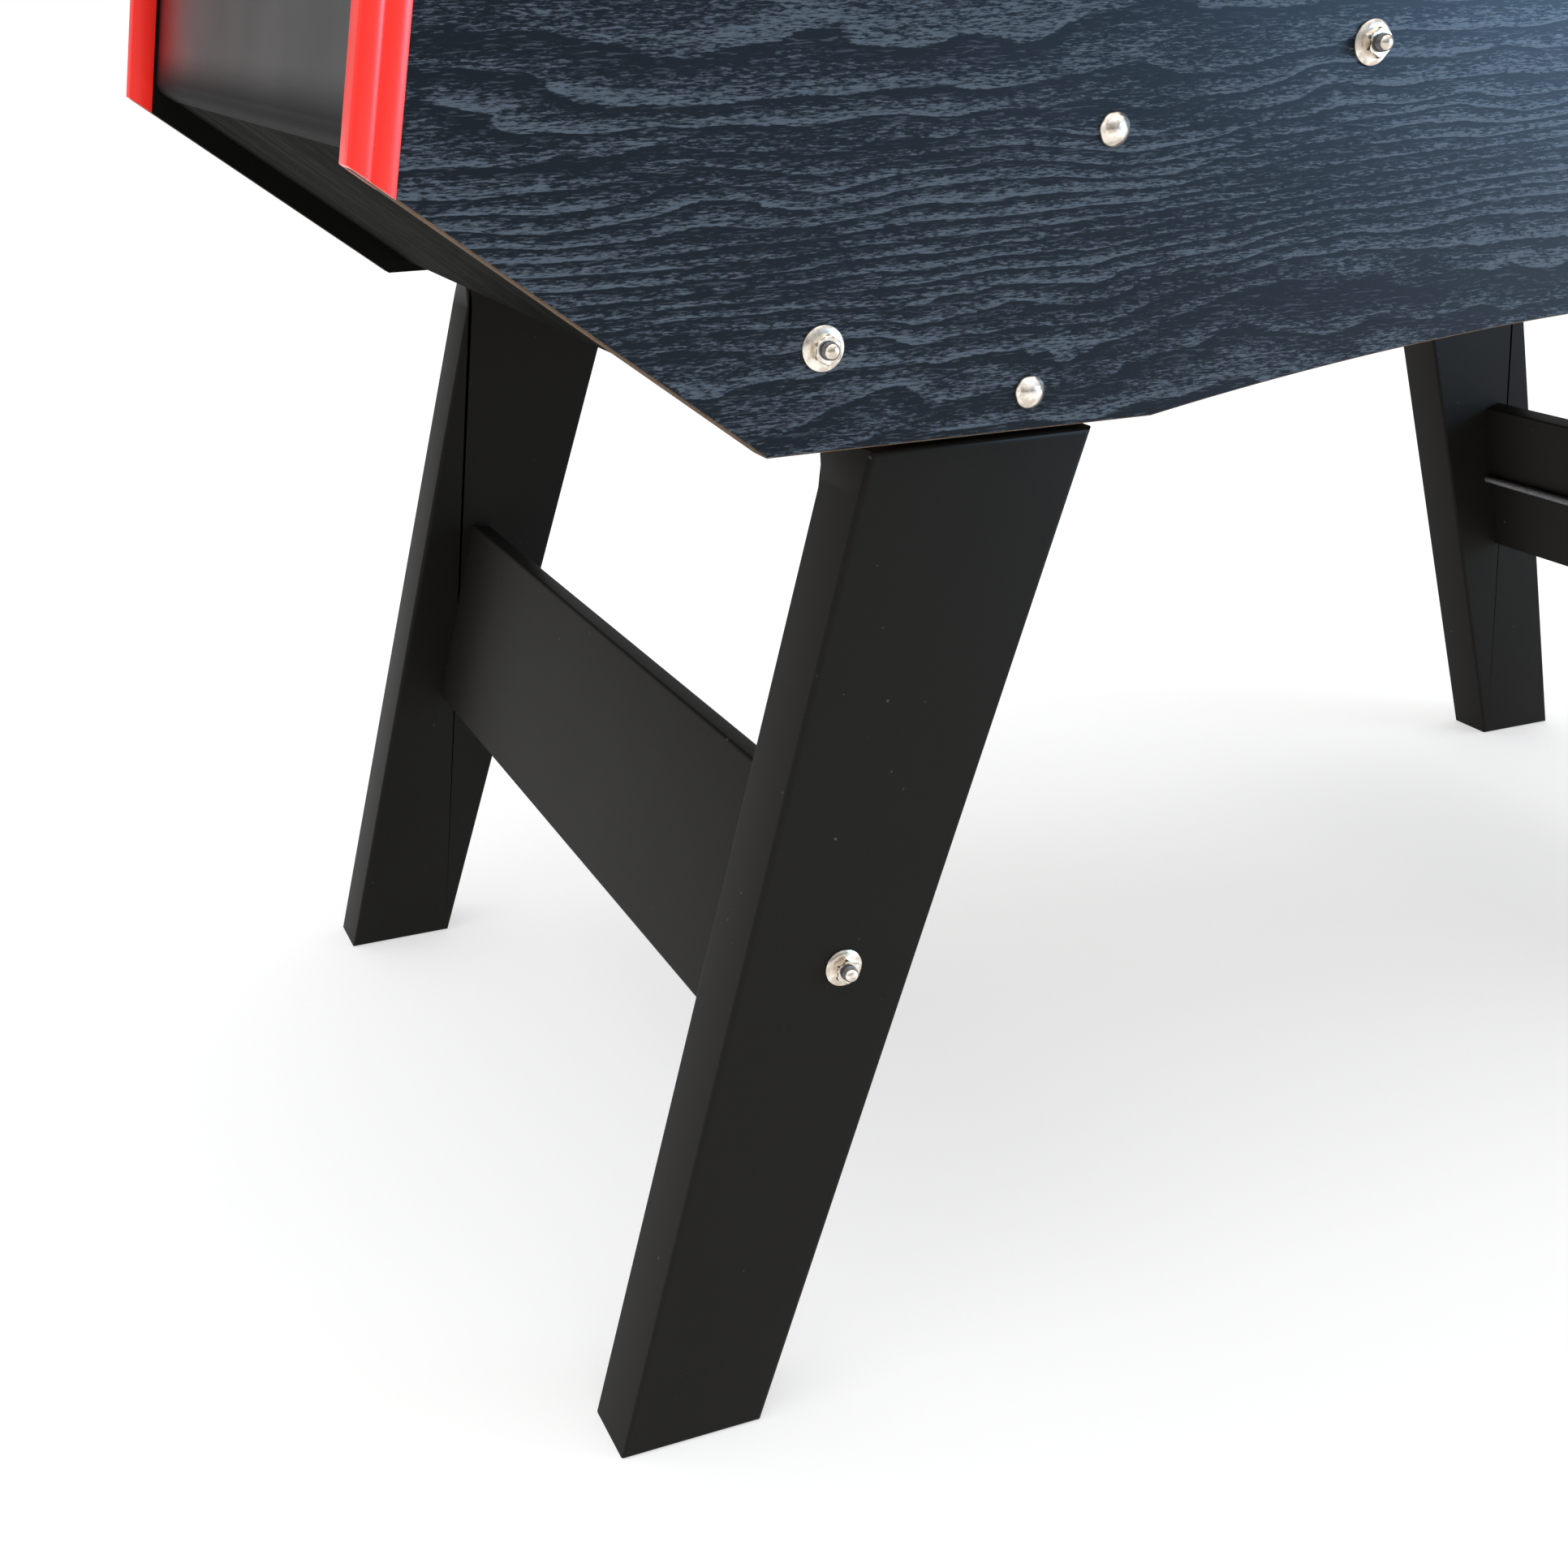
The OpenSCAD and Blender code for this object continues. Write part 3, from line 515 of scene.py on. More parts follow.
def make_gloss_panel(f, colours):
    """Dark board under a lacquer that thins out towards the rounded lower edge."""
    cloud = f.noise((9.0, 7.0, 9.0), 3.0, 0.55)
    fine = f.noise(160.0, 2.0)
    gloss = f.axes()[2].step(0.662, 0.690)
    colour = f.blend(cloud, (0.008, 0.008, 0.008), (0.016, 0.016, 0.0165))
    return f.made(0.7 * cloud + 0.3 * fine, 0.05, 0.001, Base_Color=colour,
                  Roughness=0.70 - 0.20 * gloss, Specular_IOR_Level=0.04,
                  Coat_Weight=(0.55 + 0.60 * cloud) * gloss, Coat_Roughness=0.26)


def make_underside_foil(f, colours):
    """An embossed dark foil with fine pores along the panel's slope, turning brown towards the front edge."""
    x, y, z = f.axes()
    pore = f.noise((60.0, 700.0, 60.0), 2.0, 0.6)
    wave = f.noise((5.0, 40.0, 5.0), 2.0)
    grain = (pore * 0.7 + wave * 0.3).step(0.42, 0.6)
    colour = f.blend(grain, (0.0015, 0.0018, 0.001), (0.008, 0.008, 0.005))
    # Brown towards the front edge: the tone changes with y alone.
    front_brown = (0 - y).step(0.20, 0.338)
    colour = f.blend(0.90 * front_brown, colour, (0.190, 0.128, 0.074))
    return f.made(grain, 0.35, 0.0003, Base_Color=colour, Roughness=0.75 - 0.12 * grain,
                  Specular_IOR_Level=0.01)


def make_field(f, colours):
    """Green board with white lines above, and plain hardboard below."""
    x, y, z = f.axes()
    ax, ay = abs(x), abs(y)
    mark = 0.0022
    side_y, goal_x = INNER_Y - 0.028, PLAY_HALF - 0.030
    box_x, box_y = PLAY_HALF - 0.175, 0.165
    small_x, small_y = PLAY_HALF - 0.095, 0.115
    far = (x * x + y * y) ** 0.5
    spot = ((ax - (box_x + 0.03)) * (ax - (box_x + 0.03)) + y * y) ** 0.5
    in_x, in_y = 1 - ax.step(goal_x, goal_x + 0.002), 1 - ay.step(side_y, side_y + 0.002)
    lines = ax.near(goal_x, mark) * in_y
    lines = lines.most(ay.near(side_y, mark) * in_x)
    lines = lines.most(x.near(0.0, mark) * in_y)
    lines = lines.most(far.near(0.105, mark)).most(1 - far.step(0.006, 0.0065))
    lines = lines.most(ax.near(box_x, mark) * (1 - ay.step(box_y, box_y + mark)))
    lines = lines.most(ay.near(box_y, mark) * ax.step(box_x - mark, box_x) * in_x)
    lines = lines.most(ax.near(small_x, mark) * (1 - ay.step(small_y, small_y + mark)))
    lines = lines.most(ay.near(small_y, mark) * ax.step(small_x - mark, small_x) * in_x)
    lines = lines.most(spot.near(0.075, mark) * (1 - ax.step(box_x - mark, box_x)))
    top = z.step(PLAY_Z - 0.0006, PLAY_Z - 0.0003)
    cloth = f.noise(60.0, 3.0)
    wear = f.noise((6.0, 6.0, 1.0), 3.0)
    green = f.blend(0.6 * cloth + 0.4 * wear, colours.field_dark, colours.field_light)
    painted = f.blend(lines * (0.86 + 0.14 * cloth), green, (0.82, 0.83, 0.80))
    fibre = f.noise(500.0, 3.0)
    under = f.blend(fibre, (0.10, 0.062, 0.035), (0.20, 0.13, 0.075))
    return f.made(cloth, 0.08, 0.0003, Base_Color=f.blend(top, under, painted),
                  Roughness=0.72 - (0.30 + 0.08 * wear) * top)


def make_raw_pine(f, colours):
    """Planed softwood: long growth lines along the cleat."""
    x, y, z = f.axes()
    sway = f.noise((3.0, 20.0, 20.0), 2.0)
    rings = ((y * 160 + z * 90 + 2.5 * sway).fraction()).step(0.1, 0.9)
    pore = f.noise((30.0, 900.0, 900.0), 2.0)
    colour = f.blend(0.7 * rings + 0.3 * pore, (0.52, 0.34, 0.17), (0.66, 0.47, 0.27))
    return f.made(pore, 0.2, 0.0003, Base_Color=colour, Roughness=0.62 + 0.1 * pore)


def make_red_trim(f, colours):
    """Extruded plastic in a bright red: faint draw lines along its length and a soft gloss. A faint emission
    in the trim's own red is a painted glow that makes it brighter than the lamps light it.
    """
    draw = f.noise((600.0, 600.0, 3.0), 2.0)
    cloud = f.noise((18.0, 18.0, 10.0), 2.0)
    colour = f.blend(cloud, [0.86 * c for c in colours.trim_red], colours.trim_red)
    # Painted glow: the emission in the trim's red brightens the trims beyond what the lamps give.
    return f.made(draw, 0.06, 0.0002, Base_Color=colour, Roughness=0.22 + 0.10 * cloud,
                  Specular_IOR_Level=0.5, Emission_Color=colours.trim_red, Emission_Strength=0.2)


def make_chrome(f, colours):
    """Bright plating with faint draw marks round the bar and a few duller patches."""
    mark = f.noise((60.0, 900.0, 60.0), 2.0)
    cloud = f.noise((50.0, 30.0, 50.0), 3.0)
    colour = f.blend(cloud, (0.74, 0.73, 0.71), (0.86, 0.855, 0.84))
    return f.made(mark, 0.04, 0.0001, Base_Color=colour, Metallic=1.0, Roughness=0.09 + 0.14 * cloud)


def make_bolt_plating(f, colours):
    """Bright plating over a slightly uneven forged dome."""
    dent = f.noise(190.0, 1.0)
    cloud = f.noise(220.0, 2.0)
    colour = f.blend(cloud.step(0.35, 0.65), (0.60, 0.52, 0.43), (0.90, 0.84, 0.75))
    return f.made(dent, 0.06, 0.0004, Base_Color=colour, Metallic=1.0, Roughness=0.18 + 0.10 * cloud)


def make_thread_steel(f, colours):
    """Oiled dark thread; its crests are in the mesh."""
    cloud = f.noise(400.0, 2.0)
    colour = f.blend(cloud, (0.05, 0.05, 0.055), (0.22, 0.22, 0.225))
    return f.made(cloud, 0.2, 0.0002, Base_Color=colour, Metallic=0.9, Roughness=0.30 + 0.2 * cloud)


def make_zinc(f, colours):
    """Dull passivated plating."""
    cloud = f.noise(150.0, 3.0)
    colour = f.blend(cloud, (0.42, 0.43, 0.44), (0.62, 0.62, 0.61))
    return f.made(cloud, 0.15, 0.0002, Base_Color=colour, Metallic=1.0, Roughness=0.30 + 0.15 * cloud)


def make_leg_black(f, colours):
    """Satin black film over board: very slight waves, a fine tooth and a few specks of dust."""
    tooth = f.noise(900.0, 2.0)
    cloud = f.noise((8.0, 8.0, 5.0), 3.0)
    speck = f.noise(300.0, 0.0, offset=(2, 7, 1)).step(0.855, 0.90)
    warm = f.blend(cloud, colours.leg_dark, colours.leg_light)
    colour = f.blend(0.35 * speck, warm, (0.20, 0.19, 0.18))
    return f.made(0.3 * tooth + 0.7 * cloud, 0.06, 0.0006, Base_Color=colour,
                  Roughness=0.40 + 0.10 * cloud + 0.2 * speck, Specular_IOR_Level=0.05)


def make_studio_floor(f, colours):
    """Pale paper, faintly lit from below so that shadows on it stay light."""
    cloud = f.noise(0.6, 2.0)
    return f.made(Base_Color=f.blend(cloud, (0.54, 0.54, 0.54), (0.56, 0.56, 0.56)),
                  Emission_Color=(1, 1, 1), Emission_Strength=0.52, Roughness=0.9, Specular_IOR_Level=0.0)


def plain(dark, light, grit, cloud, roughness, spread, bump=0.2, depth=0.0002, detail=2.0, **sockets):
    """Returns the maker of a plain finish: clouds of tone and gloss over a fine tooth."""
    def make(f, colours):
        shade = f.noise(cloud)
        return f.made(f.noise(grit, detail), bump, depth, Base_Color=f.blend(shade, dark, light),
                      Roughness=roughness + spread * shade, **sockets)
    return make


def paint(dark, light, roughness=0.35):
    """Moulded plastic paint, with a trace of orange peel."""
    return plain(dark, light, 700.0, 90.0, roughness, 0.12, bump=0.08, detail=1.0)


def make_front_shirt(f, colours):
    return paint([0.8 * c for c in colours.front_team], colours.front_team)(f, colours)


def make_back_shirt(f, colours):
    return paint([0.8 * c for c in colours.back_team], colours.back_team)(f, colours)


MAKERS = {
    "woodgrain_foil": make_woodgrain_foil,
    "board_edge": make_board_edge,
    "gloss_panel": make_gloss_panel,
    "underside_foil": make_underside_foil,
    "field": make_field,
    "raw_pine": make_raw_pine,
    "red_trim": make_red_trim,
    "chrome": make_chrome,
    "bolt_plating": make_bolt_plating,
    "thread_steel": make_thread_steel,
    "leg_black": make_leg_black,
    "studio_floor": make_studio_floor,
    "front_shirt": make_front_shirt,
    "back_shirt": make_back_shirt,
    "black_board": plain((0.0022, 0.0024, 0.0018), (0.0048, 0.0050, 0.0042), 220.0, 14.0, 0.42, 0.14,
                         bump=0.12, depth=0.0003, Specular_IOR_Level=0.06),
    "black_plastic": plain((0.011, 0.011, 0.012), (0.024, 0.024, 0.025), 1400.0, 40.0, 0.36, 0.12, bump=0.15),
    "grip_rubber": plain((0.008, 0.008, 0.008), (0.018, 0.018, 0.018), 900.0, 30.0, 0.50, 0.14,
                         Specular_IOR_Level=0.35),
    "bumper_rubber": plain((0.012, 0.012, 0.012), (0.026, 0.026, 0.026), 1100.0, 60.0, 0.62, 0.12),
    "zinc": make_zinc,
    "shorts": paint((0.66, 0.66, 0.65), (0.78, 0.78, 0.77)),
    "skin": paint((0.50, 0.27, 0.17), (0.60, 0.34, 0.22)),
    "lips": paint((0.33, 0.11, 0.08), (0.40, 0.15, 0.11)),
    "hair": paint((0.022, 0.013, 0.008), (0.05, 0.03, 0.018), 0.4),
    "boots": paint((0.010, 0.010, 0.010), (0.022, 0.022, 0.022), 0.3),
}
FINISHES = {}


def finish(name):
    """Each finish is made once, when a piece first asks for it."""
    if name not in FINISHES:
        FINISHES[name] = MAKERS[name](Finish(name), bpy.context.scene.foosball_colours)
    return FINISHES[name]


# ---- cabinet ----


def panel_outline():
    """Slanted ends, a flat lower edge and an arch: z = foot + rise - R + sqrt(R^2 - x^2)."""
    low_x, top_x = meet_x(0, 2 * MM), end_x(RAIL_Z) - 2 * MM
    radius = (ARCH_HALF**2 + ARCH_RISE**2) / (2 * ARCH_RISE)
    x = np.linspace(-ARCH_HALF, ARCH_HALF, 61)
    z = CABINET_Z + ARCH_RISE - radius + np.sqrt(radius**2 - x**2)
    ends = [(FLAT_HALF, CABINET_Z), (low_x, slant_z(low_x)), (top_x, RAIL_Z)]
    left = [(-a, b) for a, b in ends[::-1]]
    return np.concatenate([np.column_stack([x, z]), ends, left])


def build_side_panels(sizes):
    """Flat boards drilled for the bushings, the serving cup, the tie rods and the bolts."""
    holes = [circle(rod_place(i)[0], rod_place(i)[2], 12.6 * MM) for i in RODS]
    holes.append(circle(0, SERVE_Z, 23.1 * MM, 48))
    for sign in (-1, 1):
        holes += [circle(sign * x, z, 4.1 * MM, 16) for x, z in (TIE_LOW, TIE_UP)]
        holes += [circle(sign * x, z, 3.1 * MM, 16) for x, z in BOLTS]
    front = board(panel_outline(), -SIDE_Y, -INNER_Y, sizes.board_ease, 1, holes, (0, 1, 2),
                  hole_edge=0.2 * MM)
    finishes = [finish("woodgrain_foil"), finish("board_edge"), finish("black_board")]
    make_piece("front_side_board", [front], finishes, "cabinet", "panel_laminate", "side_panel_front")
    make_piece("back_side_board", [front.moved(scale=(-1, -1, 1))], finishes, "cabinet", "panel_laminate",
               "side_panel_back")


def build_end_panels(sizes):
    """A closed section in x and z carried along y. Its lower outer corner is an arc, and the quads
    between the two middle stations leave the goal's window open."""
    wide = END_T / math.cos(LEAN)
    x0, x1 = meet_x(UNDER_RECESS, END_RECESS), meet_x(UNDER_RECESS, END_RECESS + wide)
    under = UNDER_RECESS / math.cos(SLANT)
    z0, z1 = slant_z(x0) + under, slant_z(x1) + under
    top_x = end_x(RAIL_Z) - END_RECESS
    corner = np.array([x0, z0])
    up = np.array([top_x - x0, RAIL_Z - z0])
    down = np.array([x1 - x0, z1 - z0])
    up, down = up / np.linalg.norm(up), down / np.linalg.norm(down)
    angle = math.acos(float(up @ down))
    cut = sizes.end_round / math.tan(angle / 2)
    centre = corner + (up + down) / np.linalg.norm(up + down) * sizes.end_round / math.sin(angle / 2)
    first, last = corner + up * cut - centre, corner + down * cut - centre
    t = np.linspace(0, 1, 13)[:, None]
    swing = math.acos(float(first @ last) / sizes.end_round**2)
    arc = centre + (first * np.sin((1 - t) * swing) + last * np.sin(t * swing)) / math.sin(swing)
    outer = [(end_x(z) - END_RECESS, z) for z in (RAIL_Z, WINDOW_HIGH, WINDOW_LOW)]
    inner = [(end_x(z) - END_RECESS - wide, z) for z in (WINDOW_LOW, WINDOW_HIGH, RAIL_Z)]
    section = np.concatenate([outer, arc, [(x1, z1)], inner])
    count = len(section)
    stations = np.array([-INNER_Y, -WINDOW_HALF, WINDOW_HALF, INNER_Y])
    grid = np.empty((4, count, 3))
    grid[..., 0], grid[..., 2] = section[:, 0], section[:, 1]
    grid[..., 1] = stations[:, None]
    quads = ring_quads(4, count)
    row, col = np.divmod(np.arange(len(quads)), count)
    keep = ~((row == 1) & ((col == 1) | (col == count - 3)))
    o0, o1, i0, i1 = 1, 2, count - 3, count - 2
    a, b = count, 2 * count
    walls = [(a + o0, a + o1, a + i0, a + i1), (b + o0, b + i1, b + i0, b + o1),
             (a + o0, a + i1, b + i1, b + o0), (a + o1, b + o1, b + i0, a + i0)]
    caps = [np.arange(count)[::-1], np.arange(count) + 3 * count]
    form = shape(grid, np.concatenate([quads[keep][:, ::-1], walls]), caps)
    mirrored_pair("end_board", [form], [finish("gloss_panel")], "end_gloss", "end_panel", sharp=30)


def trim_section():
    """The channel's closed section: depth s from the end line, and height h over the board's face.
    A round bead covers the first part, a groove follows, and a soft crown runs to the lip."""
    s = np.linspace(20, 0.6, 44)
    bead = 3.0 * np.sqrt(np.clip(1 - ((s - 4.9) / 5.6) ** 2, 0, 1))
    crown = 0.6 + 1.7 * np.sin(np.pi * np.clip((s - 9.6) / 10.6, 0, 1)) ** 0.8
    outer = np.column_stack([s, np.maximum(bead, np.where(s > 9.6, crown, 0.6)) + SIDE_Y / MM])
    tip = math.pi * np.linspace(0.5, 1.0, 5)[1:]
    end_out = np.column_stack([1.2 + 1.2 * np.cos(tip), SIDE_Y / MM + 0.6 + 0 * tip])
    end_out[:, 1] += np.linspace(0.4, -0.6, 4)
    s = np.linspace(0.6, 16, 14)
    inner = np.column_stack([s, INNER_Y / MM - 0.4 - 1.6 * np.sin(np.pi * s / 16.4) ** 0.6])
    hidden = [(16, INNER_Y / MM + 0.02), (1.9, INNER_Y / MM + 0.02),
              (1.9, SIDE_Y / MM - 0.02), (20, SIDE_Y / MM - 0.02)]
    end_line = [(0, SIDE_Y / MM - 1), (0, INNER_Y / MM + 1)]
    return np.concatenate([outer, end_out[:3], end_line, inner, hidden]) * MM


def build_corner_trims(sizes):
    """The section carried from the slanted cut up to the rail, along the leaning end line."""
    s, y = trim_section().T
    low = np.array([meet_x(0, d) for d in s])
    t = np.linspace(0, 1, 7)[:, None]
    x = low + t * (end_x(RAIL_Z) - s - low)
    z = slant_z(low) + t * (RAIL_Z - slant_z(low))
    form = skin(np.stack([x, -y + 0 * t, z], -1))
    make_piece("red_corner_trims", four_ways(form), [finish("red_trim")], "cabinet", "red_trim",
               "corner_trims", sharp=50)


def build_top_rails(sizes):
    """Rails with a large round outside and small rounds elsewhere."""
    long_x = RAIL_HI.x
    y0, y1 = INNER_Y - 6 * MM, RAIL_HI.y
    r = sizes.rail_round
    a = np.linspace(0, math.pi / 2, 9)

    def rail(near, far):
        arc = [(far - r + r * math.sin(t), TOP_Z - r + r * math.cos(t)) for t in a]
        ease = 1.5 * MM
        return [(near, TOP_Z - ease), (near + ease, TOP_Z)] + arc + [
            (far, RAIL_Z + ease), (far - ease, RAIL_Z), (near + ease, RAIL_Z), (near, RAIL_Z + ease)]

    side = board(rail(y0, y1), -long_x, long_x, 1.5 * MM, 3, axes=(1, 2, 0))
    end = board(rail(PLAY_HALF, long_x), -y0 + 0.1 * MM, y0 - 0.1 * MM, axes=(0, 2, 1))
    forms = both_sides(side) + [end, end.moved(scale=(-1, 1, 1))]
    make_piece("top_rail_frame", forms, [finish("black_board")], "cabinet", "black_board", "top_rails")


def build_goals(sizes):
    """Moulded goal boxes: a tube with a floor that falls below the field, a lip and a rounded bezel
    lying on the leaning end board."""
    box_z, box_top = WINDOW_LOW, WINDOW_HIGH
    back, half, wall = PLAY_HALF + 12 * MM, WINDOW_HALF - 0.1 * MM, 3 * MM
    face = END_RECESS

    def side(y0, y1, z0, z1):
        out = [(back, z0), (end_x(z0) - face, z0), (end_x(z1) - face, z1), (back, z1)]
        return board(out, y0, y1, 0.3 * MM, 1)

    forms = [side(-half, half, box_z, box_z + wall), side(-half, half, box_top - wall, box_top),
             side(-half, -half + wall, box_z + wall * 0.9, box_top - wall * 0.9),
             side(half - wall, half, box_z + wall * 0.9, box_top - wall * 0.9)]
    lip_x = end_x(box_z) - face
    lip = [(lip_x - 3.2 * MM, box_z + 2.5 * MM), (lip_x - 0.6 * MM, box_z + 2.5 * MM),
           (lip_x - 3.0 * MM, box_z + 15 * MM), (lip_x - 5.6 * MM, box_z + 15 * MM)]
    forms.append(board(lip, -half + wall, half - wall, 0.8 * MM, 2))
    over, under = 6 * MM, 2.6 * MM
    outer = corner_round([(-half - over, box_z - over), (half + over, box_z - over),
                          (half + over, box_top + over), (-half - over, box_top + over)], 9 * MM, 6)
    hole = corner_round([(-half + under, box_z + under), (half - under, box_z + under),
                         (half - under, box_top - under), (-half + under, box_top - under)], 5 * MM, 6)
    flat = board(outer, 0.0, 2.2 * MM, 1.0 * MM, 3, [hole], axes=(1, 2, 0))
    x, y, z = flat.points.T
    flat.points = np.stack([x + end_x(z) - face, y, z], -1)
    forms.append(flat)
    mirrored_pair("goal_moulding", forms, [finish("black_plastic")], "black_plastic", "goal_box")
    mouth, top = MOUTH_HALF, MOUTH_TOP
    cut, bevel = 8 * MM, 2.3 * MM
    outline = [(-INNER_Y, PLAY_Z), (-mouth, PLAY_Z), (-mouth, top - cut), (-mouth + bevel, top - bevel),
               (-mouth + cut, top), (mouth - cut, top), (mouth - bevel, top - bevel), (mouth, top - cut),
               (mouth, PLAY_Z), (INNER_Y, PLAY_Z), (INNER_Y, RAIL_Z), (-INNER_Y, RAIL_Z)]
    wall_form = board(outline, WALL_LO.x, WALL_HI.x, 0.5 * MM, 1, axes=(1, 2, 0))
    rim = corner_round([(-mouth - 7 * MM, PLAY_Z + 0.5 * MM), (mouth + 7 * MM, PLAY_Z + 0.5 * MM),
                        (mouth + 7 * MM, top + 7 * MM), (-mouth - 7 * MM, top + 7 * MM)], 6 * MM, 4)
    opening = corner_round([(-mouth + 1 * MM, PLAY_Z + 1.5 * MM), (mouth - 1 * MM, PLAY_Z + 1.5 * MM),
                            (mouth - 1 * MM, top - 1 * MM), (-mouth + 1 * MM, top - 1 * MM)], 4 * MM, 4)
    frame_form = board(rim, WALL_LO.x - 1.6 * MM, WALL_LO.x + 0.6 * MM, 0.7 * MM, 2, [opening], (1, 1, 1),
                       axes=(1, 2, 0))
    mirrored_pair("goal_board", [wall_form, frame_form], [finish("black_board"), finish("black_plastic")],
                  "black_board", "goal_wall")


def build_field(sizes):
    """Kept boards get their finishes: the field, its ramps, the cleats and the slanted undersides."""
    refinish(finish("field"), "playfield", "corner_ramps")
    refinish(finish("raw_pine"), "playfield_cleats")
    refinish(finish("underside_foil"), "underside_left", "underside_right")


# ---- legs ----


def leg_edge(foot, top, z):
    """A leg's leaning edge: x goes straight from the foot's to the shoulder's."""
    return foot + (top - foot) * z / SHOULDER_Z


def flare(z):
    """The flare's share at each height: none below it, and one at the shoulder."""
    return np.clip((z - FLARE_LOW) / FLARE_H, 0, 1) ** 1.15


def build_legs(sizes):
    """Boards with rounded long edges and a tenon behind the side board. Below the shoulder the outer
    edge flares: x grows with a power of the height there, more at the back than at the front. The long
    narrow faces between the rounds are shaded flat."""
    ease = sizes.leg_round
    bow, back, front = 1.5, 7.2, 2.3
    steps = 6
    z = np.concatenate([[0.0, FLARE_LOW - 2 * MM, FLARE_LOW - 1 * MM], np.linspace(FLARE_LOW, SHOULDER_Z, 7)])
    out = np.column_stack([leg_edge(LEG_FOOT_OUT, LEG_TOP_OUT, z) + flare(z) * bow * MM, z])
    outline = np.concatenate([[(LEG_FOOT_IN, 0.0)], out, [(LEG_TOP_IN, SHOULDER_Z)]])
    cheek = board(outline, -LEG_FACE_Y, -LEG_BACK_Y, ease, steps)
    rounds = steps * len(outline)
    faces = slice(rounds, rounds + len(outline))
    quads = cheek.corners[4 * faces.start : 4 * faces.stop].reshape(-1, 4)
    cheek.flats[faces] = np.ptp(cheek.points[quads, 2], axis=1) > 50 * MM
    x, y, z = cheek.points.T
    outer = x > leg_edge(LEG_FOOT_OUT, LEG_TOP_OUT, z) - 6 * MM
    depth = (y + LEG_FACE_Y) / (LEG_FACE_Y - LEG_BACK_Y)
    cheek.points = np.stack([x + outer * flare(z) * (back * depth - front) * MM, y, z], -1)
    z = np.array([SHOULDER_Z - TENON_W, TENON_Z])
    near = leg_edge(LEG_FOOT_IN, LEG_TOP_IN, z)
    outline = [(near[0] + 4 * MM, z[0]), (near[0] + TENON_W - 4 * MM, z[0]), (near[1] + TENON_W, z[1]),
               (near[1], z[1])]
    tenon = board(outline, -INNER_Y + 0.1 * MM, -LEG_BACK_Y - 0.4 * MM, 1.5 * MM, 3)
    for x_name, sx in (("right", 1), ("left", -1)):
        for y_name, sy in (("front", 1), ("back", -1)):
            forms = [f.moved(scale=(sx, sy, 1)) for f in (cheek, tenon)]
            make_piece(f"{y_name}_{x_name}_leg", forms, [finish("leg_black")], "cabinet", "leg_black",
                       f"leg_{y_name}_{x_name}")


def build_stretchers(sizes):
    """Boards between the legs, leaning with them."""
    lean = math.atan((LEG_FOOT_OUT - LEG_TOP_OUT) / SHOULDER_Z)
    x0 = leg_edge(LEG_FOOT_OUT, LEG_TOP_OUT, STRETCHER_Z) - STRETCHER_IN
    corners = np.array([(-STRETCHER_T, -STRETCHER_W / 2), (0, -STRETCHER_W / 2), (0, STRETCHER_W / 2),
                        (-STRETCHER_T, STRETCHER_W / 2)])
    outline = corner_round(corners, 2 * MM, 4)
    turn = np.array([[math.cos(lean), math.sin(lean)], [-math.sin(lean), math.cos(lean)]])
    outline = outline @ turn + (x0, STRETCHER_Z)
    form = board(outline, -LEG_BACK_Y - 4 * MM, LEG_BACK_Y + 4 * MM)
    mirrored_pair("stretcher_board", [form], [finish("leg_black")], "leg_black", "stretcher")


# ---- fasteners ----


def build_tie_rods(sizes):
    """Threaded bars: the profile's radius is a row of teeth near each end, with a rounded bright tip."""
    def bar(face):
        pitch, teeth = 1.25, 9
        y0 = face / MM - 2
        k = np.arange(teeth * 2)
        thread = np.column_stack([np.where(k % 2, 3.95, 3.25), y0 + k * pitch / 2])
        tip_y = face / MM + 12
        a = np.linspace(0, 1.45, 7)
        neck = y0 + teeth * pitch
        tip = np.column_stack([3.75 * np.cos(a), tip_y - 2.6 + 2.6 * np.sin(a)])
        half = np.concatenate([thread, [(3.3, neck + 0.1), (3.75, neck + 0.5)], tip]) * MM
        whole = np.concatenate([half[::-1] * (1, -1), [(3.9 * MM, 0.0)], half])
        bright = np.abs(whole[:, 1]) > (neck + 0.2) * MM
        return whole, np.where(bright[:-1], 0, 1)
    forms = []
    for (x, z), face in ((TIE_LOW, SIDE_Y), (TIE_UP, SIDE_Y), (TIE_LEG, LEG_FACE_Y)):
        profile, tint = bar(face)
        form = lathe(profile, (x, 0, z), 24, tint=tint)
        forms += [form, form.moved(scale=(-1, 1, 1))]
    make_piece("threaded_tie_rods", forms, [finish("bolt_plating"), finish("thread_steel")], "cabinet",
               "chrome", "tie_rods", sharp=60)


def hexagon_nut(radius, y0, y1, bore, count=48):
    """A six-sided ring: the radius is that of a hexagon, r / cos of the angle from the flat's middle,
    trimmed by a cone at its outer end."""
    a = np.linspace(0, TAU, count, endpoint=False)
    flat = radius * math.cos(math.pi / 6)
    hexa = flat / np.cos((a + math.pi / 6) % (math.pi / 3) - math.pi / 6)
    rings = [(hexa, y0), (hexa, y1 + 0.8 * MM), (np.minimum(hexa, flat + 0.45 * MM), y1 + 0.35 * MM),
             (np.minimum(hexa, flat - 0.1 * MM), y1), (np.full(count, bore), y1), (np.full(count, bore), y0)]
    grid = np.stack([np.stack([r * np.cos(a), np.full(count, y), r * np.sin(a)], -1) for r, y in rings])
    return skin(grid, loop=True)


